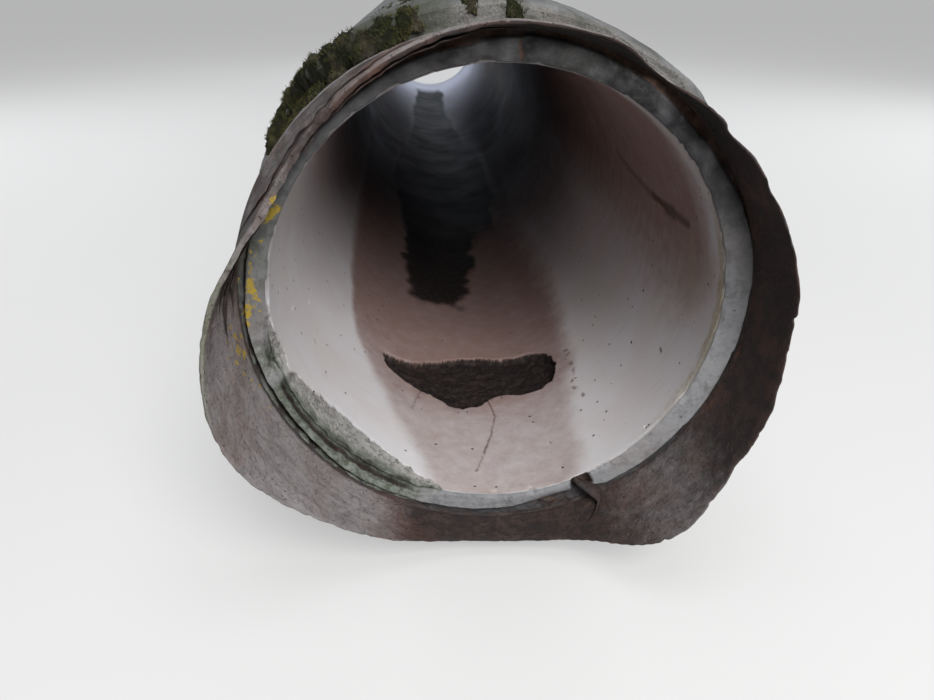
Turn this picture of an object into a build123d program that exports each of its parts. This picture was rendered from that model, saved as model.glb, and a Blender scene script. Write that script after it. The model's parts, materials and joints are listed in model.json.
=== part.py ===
from build123d import *
import math
import os

# A concrete culvert pipe with a steel cylinder in its wall.
# The bore's axis is Y. Y = 0 is the lining's end face at the open bell, the pipe runs to +Y,
# and the bell's torn steel lip stands out toward -Y. Z is up, X is to the right of someone who
# looks into the bell. All sizes are in millimetres.

# Driving sizes
length = 5000
bore_radius = 300
lining_thickness = 38
steel_thickness = 4
coat_thickness = 34

# Ends of the two concrete layers
mouth_chamfer = 3
far_chamfer = 4
coat_taper = 14

# The spigot: bare steel past the coat, with a thicker ring welded in and a groove for a gasket
spigot_length = 110
spigot_ring_length = 86
spigot_ring_rise = 1
spigot_ring_thickness = 10
groove_setback = 28
groove_width = 19
groove_depth = 7

# Radii where the layers meet
steel_inner = bore_radius + lining_thickness
steel_outer = steel_inner + steel_thickness
coat_outer = steel_outer + coat_thickness
spigot_ring_outer = steel_outer + spigot_ring_rise
spigot_ring_inner = spigot_ring_outer - spigot_ring_thickness
spigot_ring_start = length - spigot_ring_length
spigot_ring_slope = steel_inner - spigot_ring_inner

# The bell's lip: how far the steel is pushed out (or in, where it was dented) from the cylinder,
# read at three distances in front of the lining. Angles go clockwise from the top, as seen from
# the open bell, one row every 20 degrees.
lip_stations = [40, 100, 170]
lip_push = [
    [6, 8, 10],
    [8, 12, 16],
    [6, 9, 12],
    [6, 9, 12],
    [7, 13, 22],
    [7, 13, 20],
    [6, 10, 16],
    [6, 11, 18],
    [6, 8, 11],
    [6, 7, 8],
    [6, 7, 9],
    [6, 9, 15],
    [7, 13, 22],
    [7, 16, 25],
    [1, 8, 14],
    [-20, -27, -32],
    [-16, -22, -28],
    [-3, -5, -7],
]

# The torn edge: clock angle and how far the lip reaches in front of the lining there
torn_edge = [
    (0, 40),
    (14, 42),
    (25, 34),
    (34, 12),
    (41, 34),
    (49, 72),
    (60, 84),
    (72, 99),
    (84, 108),
    (91, 100),
    (104, 113),
    (118, 124),
    (130, 134),
    (140, 148),
    (150, 128),
    (158, 84),
    (170, 56),
    (183, 50),
    (196, 62),
    (207, 88),
    (220, 108),
    (233, 134),
    (247, 154),
    (258, 150),
    (268, 120),
    (277, 88),
    (288, 66),
    (303, 46),
    (322, 39),
    (342, 43),
]

# The coat's broken edge at the bell: clock angle and how far back from the lining's face it
# starts. It is broken away on both sides, so the pipe lies balanced, its heavier side down.
coat_edge = [
    (0, 12),
    (30, 8),
    (48, 14),
    (54, 128),
    (61, 278),
    (71, 352),
    (83, 330),
    (95, 238),
    (106, 110),
    (116, 32),
    (145, 14),
    (185, 12),
    (220, 20),
    (243, 40),
    (256, 90),
    (268, 170),
    (281, 262),
    (294, 330),
    (304, 344),
    (312, 280),
    (318, 150),
    (323, 42),
    (330, 14),
    (345, 9),
]

# The spalled patch in the bore's floor, seen from above: across, along
patch_depth = 13
patch_outline = [
    (-168, 392),
    (-128, 403),
    (-62, 446),
    (2, 466),
    (62, 447),
    (118, 433),
    (143, 392),
    (142, 338),
    (124, 300),
    (80, 291),
    (36, 303),
    (2, 280),
    (-46, 259),
    (-84, 287),
    (-130, 308),
    (-158, 346),
]

# The spall at the mouth's lower left
spall_clock = 228
spall_radius = 228
spall_depth = 12
spall_run = 80

# The gouge in the lining's end, lower right
gouge_clock = 156
gouge_radius = 15
gouge_depth = 20
gouge_reach = 26


def at_clock(clock, radius, y):
    """A point at a clock angle and radius, y along the axis."""
    turn = math.radians(clock)
    return (radius * math.sin(turn), y, radius * math.cos(turn))


def ring(profile):
    """A solid of revolution about the bore's axis, from (radius, y) corners."""
    outline = make_face(Polyline(*[(r, y) for r, y in profile], close=True))
    return revolve(outline, Axis.Y)


def lip_skin(base_radius):
    """The solid inside one side of the lip, from the lining's face to the last station."""
    start = Circle(base_radius)
    sections = [Plane(origin=(0, 0, 0), x_dir=(0, 0, 1), z_dir=(0, -1, 0)) * start]
    for column, reach in enumerate(lip_stations):
        step = 360 / len(lip_push)
        rim = [
            at_clock(row * step, base_radius + lip_push[row][column], -reach)
            for row in range(len(lip_push))
        ]
        sections.append(make_face(Spline(*rim, periodic=True)))
    return loft(sections)


def in_front_of(edge, depth):
    """A thick wall toward -Y from a wavy edge, given as clock angles and distances along Y."""
    inner = [at_clock(clock, bore_radius / 2, y) for clock, y in edge]
    outer = [at_clock(clock, coat_outer * 1.5, y) for clock, y in edge]
    back = Face.make_surface_from_curves(
        Spline(*inner, periodic=True), Spline(*outer, periodic=True)
    )
    return extrude(back, amount=depth, dir=(0, -1, 0))


# The line where steel and lining meet near the far end, where the spigot's ring is let in
ring_seat = [
    (steel_inner, spigot_ring_start - spigot_ring_slope),
    (spigot_ring_inner, spigot_ring_start),
    (spigot_ring_inner, length),
]

# The steel: a cylinder that ends in the spigot's ring, and the lip carried out past the lining
groove_start = length - groove_setback - groove_width
groove_floor = spigot_ring_outer - groove_depth
cylinder = ring(
    [
        (steel_outer, 0),
        (steel_inner, 0),
        *ring_seat,
        (spigot_ring_outer, length),
        (spigot_ring_outer, length - groove_setback),
        (groove_floor, length - groove_setback),
        (groove_floor, groove_start),
        (spigot_ring_outer, groove_start),
        (spigot_ring_outer, spigot_ring_start),
        (steel_outer, spigot_ring_start),
    ]
)
lip = lip_skin(steel_outer) - lip_skin(steel_inner)

# Everything in front of the torn edge goes
torn_off = in_front_of([(clock, -reach) for clock, reach in torn_edge], max(lip_stations))
steel_shell = cylinder + (lip - torn_off)

# The lining, with its worn inner edge
lining = ring(
    [
        (bore_radius + mouth_chamfer, 0),
        (steel_inner, 0),
        *ring_seat,
        (bore_radius + far_chamfer, length),
        (bore_radius, length - far_chamfer),
        (bore_radius, mouth_chamfer),
    ]
)

# The patch, cut to an even depth below the bore
patch = extrude(
    Plane.XY * make_face(Spline(*patch_outline, periodic=True)),
    amount=-(bore_radius + patch_depth),
)
patch_floor = Pos(0, length / 2, 0) * Rot(90, 0, 0) * Cylinder(
    bore_radius + patch_depth, length
)
lining -= patch & patch_floor

# The spall: a blunt cone set toward the lower left, deepest at the face
spall_offset = bore_radius + spall_depth - spall_radius
centre = at_clock(spall_clock, spall_offset, 0)
spall = Pos(*centre) * Rot(-90, 0, 0) * Cone(
    spall_radius,
    spall_radius - spall_depth,
    spall_run,
    align=(Align.CENTER, Align.CENTER, Align.MIN),
)
lining -= spall

# The gouge: a hole sunk in the end face, open into the bore
gouge_centre = at_clock(gouge_clock, bore_radius + gouge_reach - gouge_radius, 0)
gouge = Pos(*gouge_centre) * Rot(-90, 0, 0) * Cylinder(
    gouge_radius, gouge_depth * 2
)
lining -= gouge
concrete_lining = lining

# The outer coat, broken at the bell and tapered down to the spigot
coat_end = length - spigot_length
whole_coat = ring(
    [
        (steel_outer, 0),
        (coat_outer, 0),
        (coat_outer, coat_end - coat_taper),
        (coat_outer - coat_taper, coat_end),
        (steel_outer, coat_end),
    ]
)
outer_coat = whole_coat - in_front_of(coat_edge, coat_end)

nodes = {
    "concrete_lining": concrete_lining,
    "steel_shell": steel_shell,
    "outer_coat": outer_coat,
}

os.makedirs("parts", exist_ok=True)
for name, solid in nodes.items():
    export_step(solid, os.path.join("parts", name + ".step"))
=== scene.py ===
"""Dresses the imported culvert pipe: its lining, steel shell, outer coat and moss, in a plain studio."""

from __future__ import annotations

import json
import logging
import math
import random
from dataclasses import dataclass, field, fields
from enum import Enum
from typing import Any, Callable, Iterable, Sequence

import bmesh
import bpy
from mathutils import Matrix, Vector, noise
from mathutils.bvhtree import BVHTree

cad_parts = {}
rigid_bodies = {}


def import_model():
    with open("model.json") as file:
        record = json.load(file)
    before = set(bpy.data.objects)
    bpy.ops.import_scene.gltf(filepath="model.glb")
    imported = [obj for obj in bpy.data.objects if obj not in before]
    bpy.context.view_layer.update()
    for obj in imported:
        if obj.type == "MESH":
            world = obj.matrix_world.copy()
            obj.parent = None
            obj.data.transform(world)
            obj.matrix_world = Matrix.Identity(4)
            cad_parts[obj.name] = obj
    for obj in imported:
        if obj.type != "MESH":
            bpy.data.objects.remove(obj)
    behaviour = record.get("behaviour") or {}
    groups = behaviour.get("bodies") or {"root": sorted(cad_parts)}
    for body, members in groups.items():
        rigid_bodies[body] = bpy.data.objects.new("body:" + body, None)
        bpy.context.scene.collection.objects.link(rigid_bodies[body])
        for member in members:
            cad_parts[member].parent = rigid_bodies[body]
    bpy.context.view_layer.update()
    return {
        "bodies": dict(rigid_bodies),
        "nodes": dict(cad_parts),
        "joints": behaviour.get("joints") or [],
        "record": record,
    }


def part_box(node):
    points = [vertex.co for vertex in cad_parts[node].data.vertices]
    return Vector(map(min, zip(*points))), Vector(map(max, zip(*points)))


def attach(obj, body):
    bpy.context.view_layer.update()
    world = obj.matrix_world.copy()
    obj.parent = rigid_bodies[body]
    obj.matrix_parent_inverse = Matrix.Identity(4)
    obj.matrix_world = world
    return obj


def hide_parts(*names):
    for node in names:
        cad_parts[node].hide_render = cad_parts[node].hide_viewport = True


log = logging.getLogger("culvert_pipe")

AXIS = (0.0, 1.0, 0.0)
CENTRE = (0.0, 0.0, 0.0)
BODY = "root"
SHARP_ANGLE = math.radians(42.0)
# The radius midway through the steel plate, for noise that runs round the pipe
PLATE_RADIUS = 0.34
# Closer than this to the end face's plane, a point counts as being on it
ON_PLANE = 1e-6

Colour = tuple[float, float, float]
Place = tuple[float, float, float]
Pairs = tuple[tuple[float, float], ...]
Triples = tuple[tuple[float, float, float], ...]
BMesh = bmesh.types.BMesh
Material = bpy.types.Material
Object = bpy.types.Object
Socket = bpy.types.NodeSocket


class Slot(Enum):
    """The record's material slots."""

    LINING = "lining_concrete"
    STEEL = "rusty_steel"
    COAT = "coat_concrete"


class Skin(Enum):
    """Which side of the steel a point is on."""

    INNER = 0
    OUTER = 1


# Measuring round the pipe


def clock_of(point: Vector) -> float:
    """The angle of a point in degrees from the top, clockwise as seen from the bell."""
    return math.degrees(math.atan2(point.x, point.z)) % 360.0


def radius_of(point: Vector) -> float:
    """The distance of a point from the bore's axis."""
    return math.hypot(point.x, point.z)


def at_clock(clock: float, radius: float, y: float) -> Vector:
    """The point at a clock angle and radius, y along the pipe."""
    turn = math.radians(clock)
    return Vector((radius * math.sin(turn), y, radius * math.cos(turn)))


def apart(first: float, second: float) -> float:
    """How far the first clock angle is past the second, from -180 to 180 degrees."""
    return (first - second + 180.0) % 360.0 - 180.0


def ease(low: float, high: float, value: float) -> float:
    """0 below low, 1 above high, and a smooth rise between them."""
    share = min(max((value - low) / (high - low), 0.0), 1.0)
    return share * share * (3.0 - 2.0 * share)


def hump(centre: float, half_width: float, value: float) -> float:
    """1 at the centre, falling smoothly to 0 a half width away."""
    return 1.0 - ease(0.0, half_width, abs(value - centre))


def grain(point: Vector, size: float, seed: float = 0.0) -> float:
    """Smooth noise from about -1 to 1, with bumps about size metres across."""
    return noise.noise(point / size + Vector((seed, 1.7 * seed, -seed)))


def rough(point: Vector, size: float, octaves: int = 4, seed: float = 0.0) -> float:
    """Noise of several sizes, the largest about size metres across."""
    shifted = point / size + Vector((seed, 1.7 * seed, -seed))
    return noise.fractal(shifted, 0.9, 2.1, octaves)


def catmull(values: Sequence[float], share: float) -> float:
    """A smooth value between the second and third of four.

    Args:
        values: the four values, evenly spaced.
        share: how far it is from the second to the third, from 0 to 1.

    Returns:
        The value, on a smooth curve through the two.
    """
    a, b, c, d = values
    return b + 0.5 * share * (
        c - a + share * (2.0 * a - 5.0 * b + 4.0 * c - d + share * (3.0 * (b - c) + d - a))
    )


class ClockCurve:
    """A value that changes smoothly round the pipe, given at a few clock angles."""

    STEPS = 720

    def __init__(self, *points: tuple[float, float]) -> None:
        """Fills the table from (clock angle, value) pairs in order."""
        self.table = [self._between(points, i * 360.0 / self.STEPS) for i in range(self.STEPS)]

    @staticmethod
    def _between(points: Sequence[tuple[float, float]], clock: float) -> float:
        """The value at one clock angle.

        Args:
            points: the given pairs.
            clock: the angle asked for.

        Returns:
            The value, on a straight line between its neighbours eased at both ends.
        """
        count = len(points)
        for index in range(count):
            start, low = points[index]
            end, high = points[(index + 1) % count]
            width = (end - start) % 360.0 or 360.0
            past = (clock - start) % 360.0
            if past <= width:
                return low + (high - low) * ease(0.0, 1.0, past / width)
        return points[0][1]

    def at(self, clock: float) -> float:
        """The value at any clock angle.

        Args:
            clock: the angle in degrees.

        Returns:
            The value, from the two nearest places in the table.
        """
        place = (clock % 360.0) * self.STEPS / 360.0
        index = int(place)
        low = self.table[index % self.STEPS]
        return low + (self.table[(index + 1) % self.STEPS] - low) * (place - index)


def ladder(start: float, *runs: tuple[float, int]) -> list[float]:
    """Values from start on, each run going to its end in a number of even steps.

    Args:
        start: the first value.
        runs: (end, steps) pairs.

    Returns:
        All the values, the first and the last among them.
    """
    values = [start]
    for end, steps in runs:
        low = values[-1]
        values += [low + (end - low) * (i + 1) / steps for i in range(steps)]
    return values


# Making meshes


def turned(profile: Sequence[tuple[float, float]], steps: int) -> BMesh:
    """Spins a closed outline round the pipe's axis.

    Args:
        profile: (radius, y) corners in order.
        steps: how many faces go round.

    Returns:
        The closed mesh, its faces pointing outwards.
    """
    mesh = bmesh.new()
    verts = [mesh.verts.new((0.0, y, radius)) for radius, y in profile]
    edges = [mesh.edges.new(pair) for pair in zip(verts, verts[1:] + verts[:1])]
    bmesh.ops.spin(
        mesh,
        geom=verts + edges,
        cent=CENTRE,
        axis=AXIS,
        dvec=CENTRE,
        angle=math.tau,
        steps=steps,
        use_merge=True,
        use_duplicate=False,
    )
    bmesh.ops.recalc_face_normals(mesh, faces=mesh.faces)
    return mesh


def refine(mesh: BMesh, wanted: Callable[[Vector], bool], cuts: int) -> None:
    """Subdivides the part of a mesh where detail is wanted.

    Args:
        mesh: the mesh.
        wanted: tells whether a point is in that part.
        cuts: how many cuts each edge gets.
    """
    inside = {vert for vert in mesh.verts if wanted(vert.co)}
    edges = [e for e in mesh.edges if e.verts[0] in inside and e.verts[1] in inside]
    bmesh.ops.subdivide_edges(mesh, edges=edges, cuts=cuts, use_grid_fill=True)


@dataclass
class Marks:
    """What covers the surface at one point, each from 0 to 1."""

    rust: float = 0.0
    green: float = 0.0
    bare: float = 0.0
    dark: float = 0.0
    pale: float = 0.0
    tan: float = 0.0
    ochre: float = 0.0
    shade: float = 0.0
    lichen: float = 0.0

    def at_least(self, **shares: float) -> None:
        """Raises some of the marks to at least the given shares."""
        for name, share in shares.items():
            setattr(self, name, max(getattr(self, name), share))


MARK_NAMES = tuple(mark.name for mark in fields(Marks))
# A point's new place, and what covers it
Dressed = tuple[Vector, Marks]


def displace(mesh: BMesh, mover: Callable[[Vector], Dressed]) -> None:
    """Moves every point of a mesh and writes what covers it.

    Args:
        mesh: the mesh.
        mover: gives a point's new place and its marks.
    """
    layers = [mesh.verts.layers.float.new(name) for name in MARK_NAMES]
    for vert in mesh.verts:
        place, marks = mover(vert.co.copy())
        vert.co = place
        for layer, name in zip(layers, MARK_NAMES):
            vert[layer] = min(max(getattr(marks, name), 0.0), 1.0)


def sheet(
    columns: int, rows: int, place: Callable[[float, float], Vector], thickness: float
) -> BMesh:
    """Makes a thin curved sheet.

    Args:
        columns: how many points run along it.
        rows: how many points run across it.
        place: gives a point from its shares along and across, each from 0 to 1.
        thickness: how thick the sheet is.

    Returns:
        The closed mesh, its faces pointing outwards.
    """
    mesh = bmesh.new()
    bmesh.ops.create_grid(mesh, x_segments=columns, y_segments=rows, size=0.5)
    for vert in mesh.verts:
        vert.co = place(vert.co.x + 0.5, vert.co.y + 0.5)
    thicken(mesh, thickness)
    return mesh


def thicken(mesh: BMesh, thickness: float) -> None:
    """Closes an open sheet by giving it a thickness, its faces pointing outwards."""
    bmesh.ops.solidify(mesh, geom=mesh.faces[:], thickness=thickness)
    bmesh.ops.recalc_face_normals(mesh, faces=mesh.faces)


def stored(name: str, mesh: BMesh) -> bpy.types.Mesh:
    """Stores a mesh under a name.

    Args:
        name: the name.
        mesh: the mesh, used up here.

    Returns:
        The stored mesh.
    """
    data = bpy.data.meshes.new(name)
    mesh.to_mesh(data)
    mesh.free()
    return data


def added(name: str, data: bpy.types.ID) -> Object:
    """Adds an object to the scene.

    Args:
        name: its name.
        data: its mesh, lamp or camera.

    Returns:
        The new object.
    """
    thing = bpy.data.objects.new(name, data)
    bpy.context.scene.collection.objects.link(thing)
    return thing


def finished(
    name: str,
    mesh: BMesh,
    material: Material,
    node: str | None = None,
) -> Object:
    """Turns a mesh into a piece of the pipe.

    Args:
        name: the piece's name.
        mesh: its mesh, used up here.
        material: its finish.
        node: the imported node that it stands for.

    Returns:
        The new object.
    """
    for face in mesh.faces:
        face.smooth = True
    for edge in mesh.edges:
        if len(edge.link_faces) == 2 and edge.calc_face_angle(0.0) > SHARP_ANGLE:
            edge.smooth = False
    piece = added(name, stored(name, mesh))
    piece.data.materials.append(material)
    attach(piece, BODY)
    if node:
        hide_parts(node)
    log.info("%s: %d faces", name, len(piece.data.polygons))
    return piece


def tree_of(node: Object) -> BVHTree:
    """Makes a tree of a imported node's faces, for casting rays at it.

    Args:
        node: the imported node.

    Returns:
        The tree.
    """
    corners = [vert.co.copy() for vert in node.data.vertices]
    faces = [tuple(face.vertices) for face in node.data.polygons]
    return BVHTree.FromPolygons(corners, faces)


# Finishes


class Graph:
    """Builds one material's nodes."""

    def __init__(self, name: str, roughness: float, specular: float) -> None:
        """Starts a material.

        Args:
            name: its name.
            roughness: the shader's roughness.
            specular: the level of its highlights.
        """
        self.material = bpy.data.materials.new(name)
        self.material.use_nodes = True
        self.nodes = self.material.node_tree.nodes
        self.links = self.material.node_tree.links
        self.shader = self.nodes["Principled BSDF"]
        self.shader.inputs["Roughness"].default_value = roughness
        self.shader.inputs["Specular IOR Level"].default_value = specular
        self.place = self.nodes.new("ShaderNodeTexCoord").outputs["Object"]

    def _feed(self, socket: Socket, value: Any) -> None:
        """Links a socket's source, or sets its plain value.

        Args:
            socket: the socket.
            value: another node's socket, a number or a colour.
        """
        if isinstance(value, Socket):
            self.links.new(value, socket)
        elif isinstance(value, tuple) and len(value) == 3 and socket.type == "RGBA":
            socket.default_value = (*value, 1.0)
        else:
            socket.default_value = value

    def mark(self, name: str) -> Socket:
        """Reads one of the marks written on the mesh.

        Args:
            name: the mark's name.

        Returns:
            A value from 0 to 1.
        """
        node = self.nodes.new("ShaderNodeAttribute")
        node.attribute_name = name
        return node.outputs["Fac"]

    def noise(
        self,
        size: float,
        detail: float = 4.0,
        roughness: float = 0.6,
        distortion: float = 0.0,
        stretch: Place | None = None,
    ) -> Socket:
        """Noise on the object's own coordinates.

        Args:
            size: how large its bumps are, in metres.
            detail: how many finer sizes are added.
            roughness: how strong those are.
            distortion: how much it swirls.
            stretch: factors on the coordinates, for noise that is drawn out.

        Returns:
            A value from 0 to 1.
        """
        node = self.nodes.new("ShaderNodeTexNoise")
        node.inputs["Scale"].default_value = 1.0 / size
        node.inputs["Detail"].default_value = detail
        node.inputs["Roughness"].default_value = roughness
        node.inputs["Distortion"].default_value = distortion
        self.links.new(self._stretched(stretch), node.inputs["Vector"])
        return node.outputs["Fac"]

    def place_along(self) -> Socket:
        """Measures along the pipe.

        Returns:
            How far along the pipe a point is, in metres.
        """
        node = self.nodes.new("ShaderNodeSeparateXYZ")
        self.links.new(self.place, node.inputs["Vector"])
        return node.outputs["Y"]

    def hooped(self, size: float, drawn_out: float, detail: float = 4.0) -> Socket:
        """Noise drawn out round the pipe, as the layers of a rolled or spun wall are.

        Args:
            size: how wide its bands are, in metres.
            drawn_out: how many times longer than wide they are.
            detail: how many finer sizes are added.

        Returns:
            A value from 0 to 1.
        """
        parts = self.nodes.new("ShaderNodeSeparateXYZ")
        self.links.new(self.place, parts.inputs["Vector"])
        x, z = parts.outputs["X"], parts.outputs["Z"]
        squares = self.plus(self.times(x, x), self.times(z, z))
        bent = self.nodes.new("ShaderNodeCombineXYZ")
        self.links.new(self.maths("SQRT", squares), bent.inputs["X"])
        self.links.new(parts.outputs["Y"], bent.inputs["Y"])
        turn = self.times(self.maths("ARCTAN2", x, z), PLATE_RADIUS / drawn_out)
        self.links.new(turn, bent.inputs["Z"])
        node = self.nodes.new("ShaderNodeTexNoise")
        node.inputs["Scale"].default_value = 1.0 / size
        node.inputs["Detail"].default_value = detail
        node.inputs["Roughness"].default_value = 0.65
        self.links.new(bent.outputs["Vector"], node.inputs["Vector"])
        return node.outputs["Fac"]

    def cells(self, size: float, output: str = "Distance") -> Socket:
        """A pattern of cells.

        Args:
            size: how wide a cell is, in metres.
            output: Distance for the distance to a cell's middle, Color for its chance colour.

        Returns:
            The distance or the colour.
        """
        node = self.nodes.new("ShaderNodeTexVoronoi")
        node.inputs["Scale"].default_value = 1.0 / size
        self.links.new(self.place, node.inputs["Vector"])
        return node.outputs[output]

    def _stretched(self, stretch: Place | None) -> Socket:
        """The object's coordinates, for noise that may be drawn out.

        Args:
            stretch: factors on the coordinates.

        Returns:
            The coordinates, multiplied where a stretch is asked for.
        """
        if stretch is None:
            return self.place
        node = self.nodes.new("ShaderNodeMapping")
        node.inputs["Scale"].default_value = stretch
        self.links.new(self.place, node.inputs["Vector"])
        return node.outputs["Vector"]

    def maths(self, operation: str, first: Any, second: Any = 0.0) -> Socket:
        """One step of arithmetic.

        Args:
            operation: what is done.
            first: the first value.
            second: the second value.

        Returns:
            What comes out.
        """
        node = self.nodes.new("ShaderNodeMath")
        node.operation = operation
        self._feed(node.inputs[0], first)
        self._feed(node.inputs[1], second)
        return node.outputs[0]

    def times(self, first: Any, second: Any) -> Socket:
        """The product of two values."""
        return self.maths("MULTIPLY", first, second)

    def plus(self, first: Any, second: Any) -> Socket:
        """The sum of two values."""
        return self.maths("ADD", first, second)

    def less(self, first: Any, second: Any) -> Socket:
        """The first value less the second."""
        return self.maths("SUBTRACT", first, second)

    def most(self, first: Any, second: Any) -> Socket:
        """The larger of two values."""
        return self.maths("MAXIMUM", first, second)

    def between(self, value: Any, low: float, high: float) -> Socket:
        """A smooth step.

        Args:
            value: the value that steps.
            low: where it gives 0.
            high: where it gives 1, above low or below it.

        Returns:
            A value from 0 to 1.
        """
        node = self.nodes.new("ShaderNodeMapRange")
        node.interpolation_type = "SMOOTHSTEP"
        self._feed(node.inputs["Value"], value)
        node.inputs["From Min"].default_value = low
        node.inputs["From Max"].default_value = high
        return node.outputs["Result"]

    def mix(self, share: Any, first: Any, second: Any) -> Socket:
        """A colour between two.

        Args:
            share: 0 for the first, 1 for the second.
            first: the first colour.
            second: the second colour.

        Returns:
            The mixed colour.
        """
        node = self.nodes.new("ShaderNodeMix")
        node.data_type = "RGBA"
        self._feed(node.inputs[0], share)
        self._feed(node.inputs[6], first)
        self._feed(node.inputs[7], second)
        return node.outputs[2]

    def tint(
        self, under: Any, colour: Any, value: Any, low: float, high: float, strength: float
    ) -> Socket:
        """Tints a colour where a value is high.

        Args:
            under: the colour below.
            colour: the tint.
            value: what decides where it goes.
            low: the value where it begins.
            high: the value where it is at its strongest.
            strength: how strong it is there.

        Returns:
            The tinted colour.
        """
        return self.mix(self.times(self.between(value, low, high), strength), under, colour)

    def cover(
        self, under: Any, colour: Any, mark: str, ragged: Any, softness: float
    ) -> Socket:
        """Lays a colour over another where a mark is, with a ragged border.

        Args:
            under: the colour below.
            colour: the colour on top.
            mark: the mark that tells where it lies.
            ragged: noise from 0 to 1 that breaks the border up.
            softness: how wide the border is.

        Returns:
            The mixed colour.
        """
        there = self.mark(mark)
        broken_up = self.plus(there, self.less(ragged, 0.5))
        share = self.between(broken_up, 0.5 - softness, 0.5 + softness)
        present = self.between(there, 0.0, 0.12)
        return self.mix(self.times(share, present), under, colour)

    def calmed(self, value: Any, share: float) -> Socket:
        """A value of 0 to 1 drawn in toward its middle, so that it varies less."""
        return self.plus(self.times(value, share), 0.5 * (1.0 - share))

    def bump(self, height: Any, depth: float) -> None:
        """Sets the shader's bump.

        Args:
            height: a height from 0 to 1.
            depth: how many metres a height of 1 stands for.
        """
        node = self.nodes.new("ShaderNodeBump")
        node.inputs["Strength"].default_value = 1.0
        node.inputs["Distance"].default_value = depth
        self._feed(node.inputs["Height"], height)
        self.links.new(node.outputs["Normal"], self.shader.inputs["Normal"])

    def colour(self, value: Any) -> None:
        """Sets the shader's colour."""
        self._feed(self.shader.inputs["Base Color"], value)

    def matt(self, value: Any) -> None:
        """Sets the shader's roughness."""
        self._feed(self.shader.inputs["Roughness"], value)


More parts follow.
